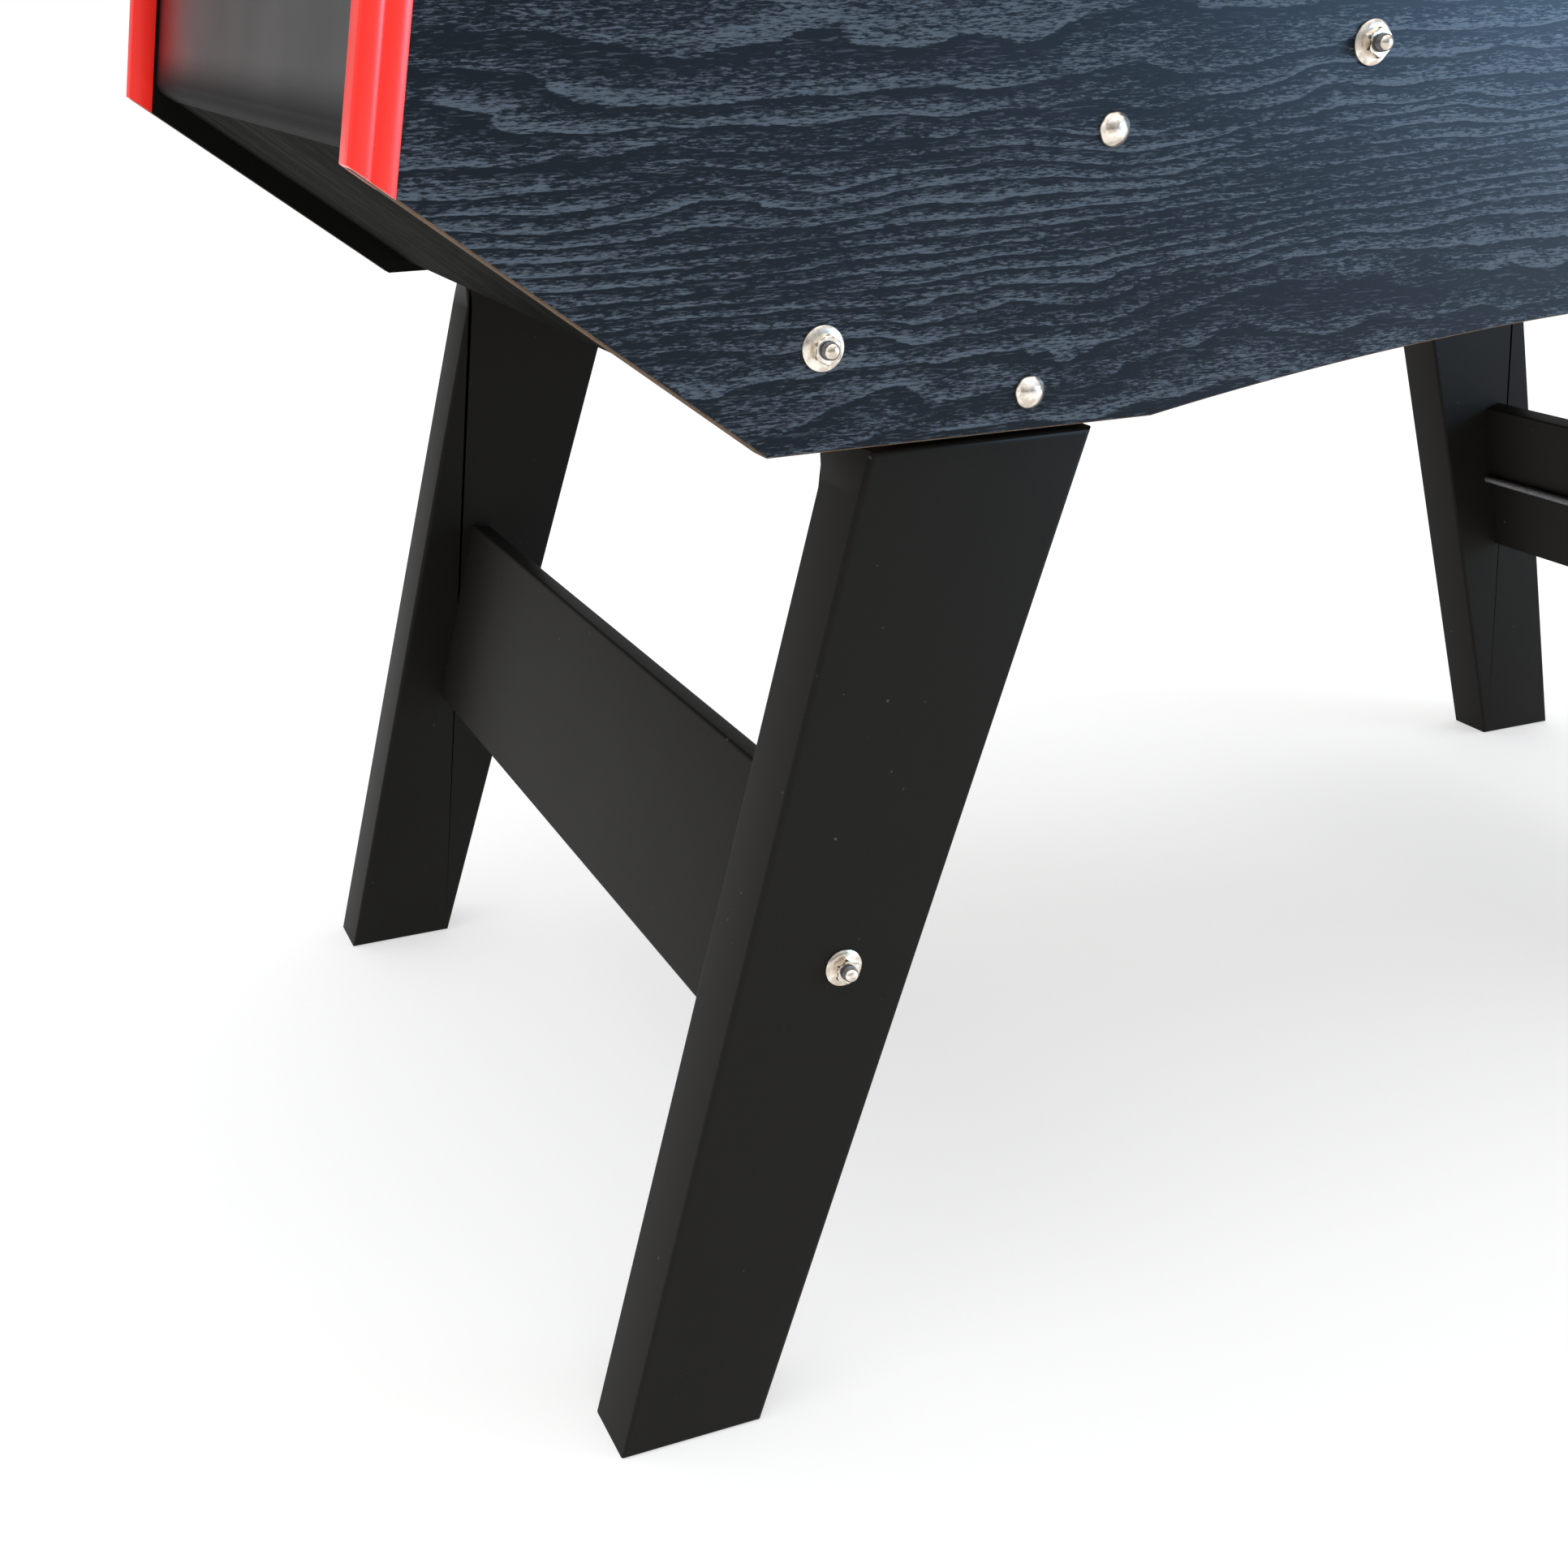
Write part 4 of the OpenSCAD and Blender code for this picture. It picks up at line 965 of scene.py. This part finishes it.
def build_flange_nuts(sizes):
    """A thin, slightly domed disc with a chamfered hexagon standing on it."""
    forms = []
    for (x, z), face in ((TIE_LOW, SIDE_Y), (TIE_UP, SIDE_Y), (TIE_LEG, LEG_FACE_Y)):
        r = np.array([4.1, 6.5, 8.0, 9.2, 9.8, 10.0, 10.0, 9.6, 4.1]) * MM
        y = np.array([-2.2, -2.15, -1.9, -1.5, -1.1, -0.7, -0.3, 0.0, 0.0]) * MM - face
        disc = lathe(np.column_stack([r, y]), (x, 0, z), 48, loop=True)
        nut = hexagon_nut(6.75 * MM, -2.0 * MM - face, -6.8 * MM - face, 4.1 * MM).moved((x, 0, z))
        forms += four_ways(disc) + four_ways(nut)
    make_piece("domed_flange_nuts", forms, [finish("bolt_plating")], "cabinet", "chrome", "flange_nuts",
               sharp=28)


def build_carriage_bolts(sizes):
    """Domed heads: the radius follows a circle arc to a thin rolled rim, with shallow hammered facets."""
    a = np.linspace(0.12, 1, 10)
    r = np.concatenate([7.8 * a, [7.5], [3.0, 3.0]]) * MM
    lift = 4.9 - 4.45 * a**2.4
    y = np.concatenate([-lift, [0.02], [0.05, 56.0]]) * MM - SIDE_Y
    forms, count = [], 40
    for x, z in BOLTS:
        form = lathe(np.column_stack([r, y]), (x, 0, z), count)
        px, py, pz = form.points.T
        around = np.arctan2(pz - z, px - x)
        wide = np.hypot(pz - z, px - x)
        head = (py < -SIDE_Y - 0.4 * MM) * np.clip(wide / (7.8 * MM), 0, 1)
        facets = np.cos(7 * around + 40 * wide / MM / 7.8)
        form.points = np.stack([px, py + head * 0.22 * MM * facets, pz], -1)
        forms += four_ways(form)
    make_piece("domed_carriage_bolts", forms, [finish("bolt_plating")], "cabinet", "chrome", "carriage_bolts",
               sharp=85)


def build_carriage_nuts(sizes):
    """Plain nuts behind the tenons, on the bolts' axes."""
    forms = []
    for x, z in BOLTS:
        nut = hexagon_nut(5.75 * MM, 0.0, -5.0 * MM, 3.05 * MM).moved(scale=(1, -1, 1))
        forms += four_ways(nut.moved((x, -LEG_BACK_Y, z)))
    make_piece("plain_hexagon_nuts", forms, [finish("zinc")], "cabinet", "steel", "carriage_nuts", sharp=28)


# ---- bushings and cups ----


def rod_place(i):
    """The rod's axis in x and z, and which side its handle is on."""
    low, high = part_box(f"rod_{i}")
    return ((low.x + high.x) / 2, -1.0 if -low.y > high.y else 1.0, (low.z + high.z) / 2)


def build_bushings(sizes):
    """A flange with a rolled rim, a shallow dish and a raised collar, and a threaded sleeve."""
    bore = 8.05
    r = np.array([bore, bore + 0.5, 11.4, 12.0, 12.6, 15.6, 16.6, 17.9, 18.8, 19.0, 18.7, 12.5, 12.5, 12.2,
                  bore + 0.4, bore]) * MM
    y = np.array([-3.4, -4.0, -4.0, -3.7, -2.6, -2.3, -3.0, -3.1, -2.5, -1.6, 0.0, 0.0, 20.0, 20.8, 21.0,
                  20.6]) * MM - SIDE_Y
    forms, ring = [], []
    notch = np.linspace(0, TAU, 72, endpoint=False)
    for i in RODS:
        x, _, z = rod_place(i)
        forms += both_sides(lathe(np.column_stack([r, y]), (x, 0, z), 40, loop=True))
        edge = 17.5 - 0.9 * (np.cos(12 * notch) > 0.55)
        levels = [(12.65, 0.0), (1.0, 0.0), (1.0, 0.7), (1.0, 5.2), (0.955, 6.0), (13.2, 6.0), (12.65, 5.5)]
        rows = [np.where(k > 2, k, k * edge) * np.ones(72) for k, _ in levels]
        grid = np.stack([np.stack([x + q * MM * np.cos(notch), np.full(72, -INNER_Y + w * MM),
                                   z + q * MM * np.sin(notch)], -1) for q, (_, w) in zip(rows, levels)])
        ring += both_sides(skin(grid, loop=True))
    make_piece("rod_bushing_set", forms, [finish("black_plastic")], "cabinet", "black_plastic",
               "rod_bushings")
    make_piece("notched_ring_nuts", ring, [finish("black_plastic")], "cabinet", "black_plastic", "ring_nuts")


def build_serving_cups(sizes):
    """A quarter bowl outside the board, open above, and a tube through it. Each ring of the bowl lies
    on a sphere: radius times cos and sin of two angles, cut off level above the ball hole."""
    outer, wall, lip = 34.0, 3.0, 8.5
    a = np.linspace(0, math.pi, 33)[None, :]

    def shell(radius):
        level = np.linspace(-1.45, math.asin(lip / radius), 12)[:, None]
        wide = radius * np.cos(level)
        return np.stack([wide * np.cos(a), -wide * np.sin(a), radius * np.sin(level) + 0 * a], -1)

    out, inn = shell(outer), shell(outer - wall)
    rows, count = out.shape[:2]
    points = np.concatenate([out.reshape(-1, 3), inn.reshape(-1, 3)])
    i, j = np.meshgrid(np.arange(rows - 1), np.arange(count - 1), indexing="ij")
    base = (i * count + j).ravel()
    skin_out = np.stack([base, base + 1, base + count + 1, base + count], -1)
    skin_in = skin_out[:, ::-1] + rows * count
    loop = np.concatenate([np.arange(count), np.arange(1, rows) * count + count - 1,
                           (rows - 1) * count + np.arange(count - 2, -1, -1),
                           np.arange(rows - 2, 0, -1) * count])
    after = np.roll(loop, -1)
    rim = np.stack([after, loop, loop + rows * count, after + rows * count], -1)
    bowl = shape(points * MM + (0, -SIDE_Y, SERVE_Z), np.concatenate([skin_out, skin_in, rim]))
    r = np.array([20.0, 20.4, 22.6, 23.0, 23.0, 22.6, 20.4, 20.0]) * MM
    y = np.array([-2.6, -3.0, -3.0, -2.6, 14.6, 15.0, 15.0, 14.6]) * MM - SIDE_Y
    tube = lathe(np.column_stack([r, y]), (0, 0, SERVE_Z), 48, loop=True)
    make_piece("serving_cup_pair", both_sides(bowl) + both_sides(tube), [finish("black_plastic")], "cabinet",
               "black_plastic", "serve_cups", sharp=45)


# ---- rods and players ----


def seated(form, i):
    """A form drawn with its handle towards -Y, put on its rod; the other team's is turned half round."""
    x, side, z = rod_place(i)
    return form.moved((x, 0, z), (-side, -side, 1))


def build_rods(sizes):
    """Polished bars, chamfered at the handle's end and domed at the far one."""
    for i in RODS:
        low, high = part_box(f"rod_{i}")
        near, far = max(-low.y, high.y) / MM, min(-low.y, high.y) / MM
        r, a = 7.95, np.linspace(0, 1.45, 9)
        end = np.column_stack([r * np.cos(a), far - r + r * np.sin(a)])
        start = [(7.0, -near), (r, -near + 1.0)]
        profile = np.concatenate([start, [(r, -300.0), (r, 0.0), (r, 300.0)], end]) * MM
        make_piece(f"chrome_rod_{i}", [seated(lathe(profile, count=48), i)], [finish("chrome")],
                   f"rod_assembly_{i}", "chrome", f"rod_{i}")


def player():
    """A moulded player: superellipses stacked for each part, facing +X, about the rod's axis."""
    shirt, shorts, skin_tone, boots, hair, lips = range(6)
    boss = np.array([(8.0, -8.9), (11.6, -8.9), (12.3, -8.2), (12.3, 8.2), (11.6, 8.9), (8.0, 8.9)]) * MM
    forms = [
        lathe(boss, count=28, loop=True, tint=shorts),
        stack([(3, 0, 0, 8.4, 9.0, 3), (9, 0, 0, 7.4, 8.4, 2.8), (15, 0.5, 0, 8.1, 9.2, 2.6),
               (20, 0.4, 0, 8.1, 10.0, 2.5), (23.6, 0, 0, 6.8, 10.2, 2.3), (25.8, 0, 0, 4.8, 6.8, 2.1),
               (27.4, 0, 0, 3.9, 4.4, 2)], 24, 3, shirt),
        stack([(25, 0, 0, 3.3, 3.4, 2), (31, 0.2, 0, 3.3, 3.3, 2)], 16, 2, skin_tone),
        stack([(-21, 0, 0, 8.2, 11.6, 3.2), (-16, 0, 0, 8.8, 12.0, 3), (-6, 0, 0, 9.2, 11.8, 3),
               (5, 0, 0, 8.2, 9.6, 3)], 24, 3, shorts),
        stack([(-64, 0, 0, 8.2, 12.4, 5), (-63.2, 0, 0, 8.9, 12.9, 5), (-57, 0, 0, 8.9, 12.9, 5),
               (-52, 0, 0, 7.4, 12.4, 4), (-48, 0, 0, 5.8, 11.4, 3)], 28, 3, boots),
    ]
    for side in (-1, 1):
        forms += [
            stack([(24.2, 0, side * 8.9, 1.2, 1.2, 2), (23.4, 0, side * 9.9, 3.0, 2.6, 2),
                   (20, 0.2, side * 10.6, 3.3, 2.3, 2.2), (14.5, 0.6, side * 10.9, 3.1, 2.0, 2.2)],
                  14, 3, shirt),
            stack([(15, 0.6, side * 10.8, 2.4, 1.7, 2), (10, 1.4, side * 10.9, 2.2, 1.7, 2),
                   (6, 2.2, side * 10.9, 2.2, 1.8, 2), (3.5, 2.6, side * 10.9, 1.4, 1.3, 2)],
                  12, 2, skin_tone),
            stack([(-19, 0, side * 5.8, 6.2, 5.4, 2.4), (-26, 0, side * 5.9, 5.8, 5.1, 2.2),
                   (-31, 0, side * 6.0, 5.4, 5.0, 2.2)], 16, 2, skin_tone),
            stack([(-30, 0, side * 6.0, 5.7, 5.4, 2.2), (-31, 0, side * 6.0, 6.0, 5.6, 2.2),
                   (-40, -0.2, side * 6.0, 5.7, 5.5, 2.2), (-50, 0, side * 6.0, 5.2, 5.3, 2.4)],
                  16, 3, shirt),
            ball((7.0, side * 2.5, 35.3), (0.75, 1.0, 0.7), hair, 10),
            ball((6.9, side * 2.5, 37.1), (0.7, 1.5, 0.35), hair, 10),
            ball((0.2, side * 6.9, 34.4), (1.5, 0.8, 1.9), skin_tone, 10),
        ]
    forms += [
        stack([(27.8, 1.2, 0, 2.6, 2.6, 2), (29.2, 1.2, 0, 4.9, 4.4, 2.1), (31.5, 0.9, 0, 6.1, 5.8, 2.2),
               (34.5, 0.5, 0, 6.9, 6.6, 2.2), (37.5, 0.1, 0, 7.1, 6.8, 2.2), (40, -0.2, 0, 5.8, 5.6, 2.1),
               (41.4, -0.3, 0, 3.2, 3.2, 2)], 24, 4, skin_tone),
        stack([(32.4, -1.9, 0, 5.8, 6.7, 2.2), (35.5, -1.5, 0, 6.9, 7.1, 2.2), (38.4, -0.9, 0, 7.1, 7.0, 2.2),
               (40.6, -0.5, 0, 5.7, 5.6, 2.1), (41.9, -0.4, 0, 2.6, 2.6, 2)], 24, 4, hair),
        stack([(32.6, 7.3, 0, 0.9, 1.2, 2), (33.3, 7.6, 0, 1.0, 1.1, 2), (36.6, 7.0, 0, 0.6, 0.6, 2)],
              10, 2, skin_tone),
        ball((6.75, 0, 31.0), (0.7, 1.9, 0.4), lips, 10),
    ]
    return joined(forms)


def build_players(sizes):
    """Each rod's players, spaced evenly, in their team's shirts."""
    one = player()
    for i in RODS:
        count = MEN[i - 1]
        places = (np.arange(count) - (count - 1) / 2) * SPACING[count]
        forms = [seated(one.moved((0, place, 0)), i) for place in places]
        shirt, slot = ("front_shirt", "team_red") if rod_place(i)[1] < 0 else ("back_shirt", "team_blue")
        finishes = [finish(name) for name in (shirt, "shorts", "skin", "boots", "hair", "lips")]
        make_piece(f"players_on_rod_{i}", forms, finishes, f"rod_assembly_{i}", slot, f"men_{i}", sharp=60)


def build_grips(sizes):
    """Turned grips: a smooth curve through swell, waist and palm, with shallow rings round the waist."""
    for i in RODS:
        low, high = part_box(f"grip_{i}")
        near, far = sorted((abs(low.y) / MM, abs(high.y) / MM))
        knots = [(12.4, 0), (13.9, 1.2), (15.9, 7), (16.4, 13), (15.3, 24), (13.95, 44), (14.9, 63),
                 (16.35, 82), (16.5, 92), (16.2, 101), (14.8, 107)]
        body = eased(knots, 12)
        r, y = body.T
        ribs = ((y > 20) & (y < 76)) * 0.35 * np.clip(np.cos(TAU * y / 4.0), -1, 0.2)
        tail = [(13.4, 109.0), (10.5, 110.0), (6.0, 110.0)]
        profile = np.concatenate([[(8.1, 0.0)], np.column_stack([r + ribs, y]), tail])
        profile[:, 1] = -near - profile[:, 1] * (far - near) / 110.0
        form = lathe(profile * MM, count=48)
        make_piece(f"rubber_grip_{i}", [seated(form, i)], [finish("grip_rubber")], f"rod_assembly_{i}",
                   "grip_rubber", f"grip_{i}", sharp=50)


def build_bumpers(sizes):
    """Rubber sleeves with rounded ends and one shallow waist."""
    for i in RODS:
        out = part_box(f"bumpers_{i}")[1].y
        length = 20 * MM
        r = np.array([8.05, 13.2, 14.2, 14.5, 14.5, 13.9, 13.9, 14.5, 14.5, 14.2, 13.2, 8.05]) * MM
        y = np.array([0, 0, 0.35, 1.4, 6.0, 8.0, 12.0, 14.0, 18.6, 19.65, 20.0, 20.0]) * MM + out - length
        form = lathe(np.column_stack([r, y]), count=40, loop=True)
        make_piece(f"rubber_bumpers_{i}", [seated(f, i) for f in both_sides(form)], [finish("bumper_rubber")],
                   f"carrier_{i}", "bumper_rubber", f"bumpers_{i}")


# ---- stage ----

LAMP_AIM = (0, 0, 0.5)
CAMERA_RIGHT = (0.9312781, -0.36350856, -0.02413734)
CAMERA_UP = (0.16391147, 0.35891369, 0.9188656)
CAMERA_BACK = (-0.32535229, -0.8596758, 0.3938317)
CAMERA_PLACE = (-0.8741, -1.1040, 0.7136)


def build_stage(light):
    """A pale floor, a soft surround, three large soft lamps, one that only glossy reflections see, and
    the camera."""
    reach = 40.0
    floor = bpy.data.meshes.new("floor")
    around = [(-reach, -reach, 0), (reach, -reach, 0), (reach, reach, 0), (-reach, reach, 0)]
    floor.from_pydata(around, [], [(0, 1, 2, 3)])
    floor.materials.append(finish("studio_floor"))
    plane = bpy.data.objects.new("studio_floor", floor)
    bpy.context.scene.collection.objects.link(plane)
    for name, place, size, power, tint in (
        ("lamp_overhead", (0.3, -0.4, 3.4), 4.2, light.overhead, (1.0, 1.0, 1.0)),
        ("lamp_right", (4.3, -2.9, 0.95), 2.0, light.right, (0.66, 0.82, 1.0)),
        ("lamp_left", (-3.6, -1.2, 1.6), 2.4, light.left, (1.0, 0.97, 0.93)),
        ("lamp_sheen", (2.9, -3.0, 1.30), 1.0, light.sheen, (0.30, 0.60, 1.0)),
    ):
        lamp = bpy.data.lights.new(name, "AREA")
        lamp.shape, lamp.size, lamp.energy, lamp.color = "SQUARE", size, power, tint
        holder = bpy.data.objects.new(name, lamp)
        aim = Vector(place) - Vector(LAMP_AIM)
        holder.location = place
        holder.rotation_mode = "QUATERNION"
        holder.rotation_quaternion = aim.to_track_quat("Z", "Y")
        holder.visible_diffuse = name != "lamp_sheen"
        bpy.context.scene.collection.objects.link(holder)
    world = bpy.data.worlds.new("studio")
    world.use_nodes = True
    nodes, links = world.node_tree.nodes, world.node_tree.links
    back = nodes["Background"]
    seen = nodes.new("ShaderNodeLightPath")
    where = nodes.new("ShaderNodeTexCoord")
    split = nodes.new("ShaderNodeSeparateXYZ")
    links.new(where.outputs["Generated"], split.inputs[0])
    climb = nodes.new("ShaderNodeMapRange")
    climb.interpolation_type = "SMOOTHSTEP"
    levels = {"From Min": 0.0, "From Max": 0.8, "To Min": light.horizon, "To Max": light.zenith}
    for key, value in levels.items():
        climb.inputs[key].default_value = value
    links.new(split.outputs["Z"], climb.inputs["Value"])
    mix = nodes.new("ShaderNodeMix")
    mix.data_type = "FLOAT"
    links.new(seen.outputs["Is Camera Ray"], mix.inputs[0])
    links.new(climb.outputs[0], mix.inputs[2])
    mix.inputs[3].default_value = 1.0
    links.new(mix.outputs[0], back.inputs["Strength"])
    back.inputs["Color"].default_value = (1, 1, 1, 1)
    scene = bpy.context.scene
    scene.world = world
    scene.view_settings.view_transform = "Standard"
    camera = bpy.data.cameras.new("camera")
    camera.sensor_width, camera.lens = 36.0, 43.90
    camera.shift_x, camera.shift_y = 0.0701, 0.0187
    camera.clip_start, camera.clip_end = 0.05, 60
    holder = bpy.data.objects.new("camera", camera)
    holder.matrix_world = Matrix((CAMERA_RIGHT, CAMERA_UP, CAMERA_BACK)).transposed().to_4x4()
    holder.location = CAMERA_PLACE
    scene.collection.objects.link(holder)
    scene.camera = holder


# ---- add-on ----


class FoosballSizes(bpy.types.PropertyGroup):
    """Sizes of the edges that the finished pieces carry"""

    board_ease: bpy.props.FloatProperty(
        name="Board edge", description="Width of the bare sawn line along the side boards' edges",
        default=0.6 * MM, min=0.2 * MM, max=2 * MM, unit="LENGTH")
    end_round: bpy.props.FloatProperty(
        name="End round", description="Radius of the end boards' lower outer corner",
        default=10 * MM, min=4 * MM, max=11 * MM, unit="LENGTH")
    rail_round: bpy.props.FloatProperty(
        name="Rail round", description="Radius of the top rails' outer edge",
        default=7 * MM, min=2 * MM, max=12 * MM, unit="LENGTH")
    leg_round: bpy.props.FloatProperty(
        name="Leg round", description="Radius of the legs' long edges",
        default=3 * MM, min=0.5 * MM, max=6 * MM, unit="LENGTH")


def colour_property(name, description, default):
    return bpy.props.FloatVectorProperty(name=name, description=description, default=default,
                                         min=0.0, max=1.0, size=3, subtype="COLOR")


class FoosballColours(bpy.types.PropertyGroup):
    """Colours of the finishes, as linear values"""

    foil_dark: colour_property("Foil ground, dark", "Darker ground of the wood-grain foil",
                               (0.0045, 0.0072, 0.0112))
    foil_mid: colour_property("Foil ground, light", "Lighter ground of the wood-grain foil",
                              (0.0082, 0.0130, 0.0208))
    foil_grain: colour_property("Foil grain", "Flecks of the wood-grain foil", (0.078, 0.102, 0.132))
    trim_red: colour_property("Trims", "Corner trims", (0.96, 0.026, 0.017))
    field_dark: colour_property("Field, dark", "Darker tone of the playing field", (0.012, 0.13, 0.035))
    field_light: colour_property("Field, light", "Lighter tone of the playing field", (0.022, 0.19, 0.055))
    leg_dark: colour_property("Legs, dark", "Darker tone of the legs", (0.0118, 0.0112, 0.0094))
    leg_light: colour_property("Legs, light", "Lighter tone of the legs", (0.0166, 0.0156, 0.0130))
    front_team: colour_property("Front team", "Shirts of the team at the front", (0.62, 0.018, 0.014))
    back_team: colour_property("Back team", "Shirts of the team at the back", (0.014, 0.060, 0.42))


class FoosballLight(bpy.types.PropertyGroup):
    """Power of the studio lamps"""

    overhead: bpy.props.FloatProperty(name="Overhead", description="Lamp above",
                                      default=45.0, min=0, unit="POWER")
    right: bpy.props.FloatProperty(name="Right", description="Lamp at the right",
                                   default=100.0, min=0, unit="POWER")
    left: bpy.props.FloatProperty(name="Left", description="Lamp at the left",
                                  default=9.0, min=0, unit="POWER")
    sheen: bpy.props.FloatProperty(name="Sheen", description="Bluish lamp seen only in glossy reflections",
                                   default=205.0, min=0, unit="POWER")
    horizon: bpy.props.FloatProperty(name="Horizon", description="Brightness of the surround, low down",
                                     default=0.30, min=0, max=4)
    zenith: bpy.props.FloatProperty(name="Zenith", description="Brightness of the surround, overhead",
                                    default=1.15, min=0, max=4)


class BuildPart:
    """What all of the operators share"""

    bl_options = {"REGISTER", "UNDO"}

    def execute(self, context):
        self.work(context.scene.foosball_sizes)
        return {"FINISHED"}


class FOOSBALL_OT_side_boards(BuildPart, bpy.types.Operator):
    """Builds both side boards with their wood-grain foil and bare edges"""

    bl_idname, bl_label = "foosball.side_boards", "Side boards"
    work = staticmethod(build_side_panels)


class FOOSBALL_OT_end_boards(BuildPart, bpy.types.Operator):
    """Builds both leaning end boards with their goal windows"""

    bl_idname, bl_label = "foosball.end_boards", "End boards"
    work = staticmethod(build_end_panels)


class FOOSBALL_OT_corner_trims(BuildPart, bpy.types.Operator):
    """Builds the four red corner trims"""

    bl_idname, bl_label = "foosball.corner_trims", "Corner trims"
    work = staticmethod(build_corner_trims)


class FOOSBALL_OT_top_rails(BuildPart, bpy.types.Operator):
    """Builds the frame of top rails"""

    bl_idname, bl_label = "foosball.top_rails", "Top rails"
    work = staticmethod(build_top_rails)


class FOOSBALL_OT_goals(BuildPart, bpy.types.Operator):
    """Builds the goal boards and the moulded goal boxes"""

    bl_idname, bl_label = "foosball.goals", "Goals"
    work = staticmethod(build_goals)


class FOOSBALL_OT_field(BuildPart, bpy.types.Operator):
    """Finishes the playing field, its ramps, the cleats and the undersides"""

    bl_idname, bl_label = "foosball.field", "Playing field"
    work = staticmethod(build_field)


class FOOSBALL_OT_legs(BuildPart, bpy.types.Operator):
    """Builds the four legs"""

    bl_idname, bl_label = "foosball.legs", "Legs"
    work = staticmethod(build_legs)


class FOOSBALL_OT_stretchers(BuildPart, bpy.types.Operator):
    """Builds the two stretchers"""

    bl_idname, bl_label = "foosball.stretchers", "Stretchers"
    work = staticmethod(build_stretchers)


class FOOSBALL_OT_tie_rods(BuildPart, bpy.types.Operator):
    """Builds the threaded tie rods"""

    bl_idname, bl_label = "foosball.tie_rods", "Tie rods"
    work = staticmethod(build_tie_rods)


class FOOSBALL_OT_flange_nuts(BuildPart, bpy.types.Operator):
    """Builds the domed flange nuts"""

    bl_idname, bl_label = "foosball.flange_nuts", "Flange nuts"
    work = staticmethod(build_flange_nuts)


class FOOSBALL_OT_carriage_bolts(BuildPart, bpy.types.Operator):
    """Builds the domed carriage bolts"""

    bl_idname, bl_label = "foosball.carriage_bolts", "Carriage bolts"
    work = staticmethod(build_carriage_bolts)


class FOOSBALL_OT_carriage_nuts(BuildPart, bpy.types.Operator):
    """Builds the nuts of the carriage bolts"""

    bl_idname, bl_label = "foosball.carriage_nuts", "Carriage bolt nuts"
    work = staticmethod(build_carriage_nuts)


class FOOSBALL_OT_bushings(BuildPart, bpy.types.Operator):
    """Builds the rod bushings and their ring nuts"""

    bl_idname, bl_label = "foosball.bushings", "Bushings"
    work = staticmethod(build_bushings)


class FOOSBALL_OT_serving_cups(BuildPart, bpy.types.Operator):
    """Builds the two serving cups"""

    bl_idname, bl_label = "foosball.serving_cups", "Serving cups"
    work = staticmethod(build_serving_cups)


class FOOSBALL_OT_rods(BuildPart, bpy.types.Operator):
    """Builds the eight chromed rods"""

    bl_idname, bl_label = "foosball.rods", "Rods"
    work = staticmethod(build_rods)


class FOOSBALL_OT_players(BuildPart, bpy.types.Operator):
    """Builds the players of both teams"""

    bl_idname, bl_label = "foosball.players", "Players"
    work = staticmethod(build_players)


class FOOSBALL_OT_grips(BuildPart, bpy.types.Operator):
    """Builds the rubber grips"""

    bl_idname, bl_label = "foosball.grips", "Grips"
    work = staticmethod(build_grips)


class FOOSBALL_OT_bumpers(BuildPart, bpy.types.Operator):
    """Builds the rubber bumpers"""

    bl_idname, bl_label = "foosball.bumpers", "Bumpers"
    work = staticmethod(build_bumpers)


class FOOSBALL_OT_stage(BuildPart, bpy.types.Operator):
    """Builds the floor, the lamps and the camera"""

    bl_idname, bl_label = "foosball.stage", "Stage"

    def execute(self, context):
        build_stage(context.scene.foosball_light)
        return {"FINISHED"}


OPERATORS = (
    FOOSBALL_OT_stage, FOOSBALL_OT_side_boards, FOOSBALL_OT_end_boards, FOOSBALL_OT_corner_trims,
    FOOSBALL_OT_top_rails, FOOSBALL_OT_goals, FOOSBALL_OT_field, FOOSBALL_OT_legs, FOOSBALL_OT_stretchers,
    FOOSBALL_OT_tie_rods, FOOSBALL_OT_flange_nuts, FOOSBALL_OT_carriage_bolts, FOOSBALL_OT_carriage_nuts,
    FOOSBALL_OT_bushings, FOOSBALL_OT_serving_cups, FOOSBALL_OT_rods, FOOSBALL_OT_players, FOOSBALL_OT_grips,
    FOOSBALL_OT_bumpers,
)


class FOOSBALL_PT_sidebar(bpy.types.Panel):
    """Lists the sizes, colours and pieces of the table"""

    bl_idname = "FOOSBALL_PT_sidebar"
    bl_label = "Foosball Table"
    bl_space_type = "VIEW_3D"
    bl_region_type = "UI"
    bl_category = "Foosball"

    def draw(self, context):
        column = self.layout.column()
        scene = context.scene
        for group in (scene.foosball_sizes, scene.foosball_colours, scene.foosball_light):
            for key in group.bl_rna.properties.keys():
                if key not in ("rna_type", "name"):
                    column.prop(group, key)
        for operator in OPERATORS:
            column.operator(operator.bl_idname)


CLASSES = (FoosballSizes, FoosballColours, FoosballLight, *OPERATORS, FOOSBALL_PT_sidebar)


def register():
    for cls in CLASSES:
        bpy.utils.register_class(cls)
    bpy.types.Scene.foosball_sizes = bpy.props.PointerProperty(type=FoosballSizes)
    bpy.types.Scene.foosball_colours = bpy.props.PointerProperty(type=FoosballColours)
    bpy.types.Scene.foosball_light = bpy.props.PointerProperty(type=FoosballLight)


def unregister():
    for key in ("foosball_sizes", "foosball_colours", "foosball_light"):
        delattr(bpy.types.Scene, key)
    for cls in reversed(CLASSES):
        bpy.utils.unregister_class(cls)


def main():
    register()
    for operator in OPERATORS:
        group, name = operator.bl_idname.split(".")
        getattr(getattr(bpy.ops, group), name)()


if __name__ == "__main__":
    main()
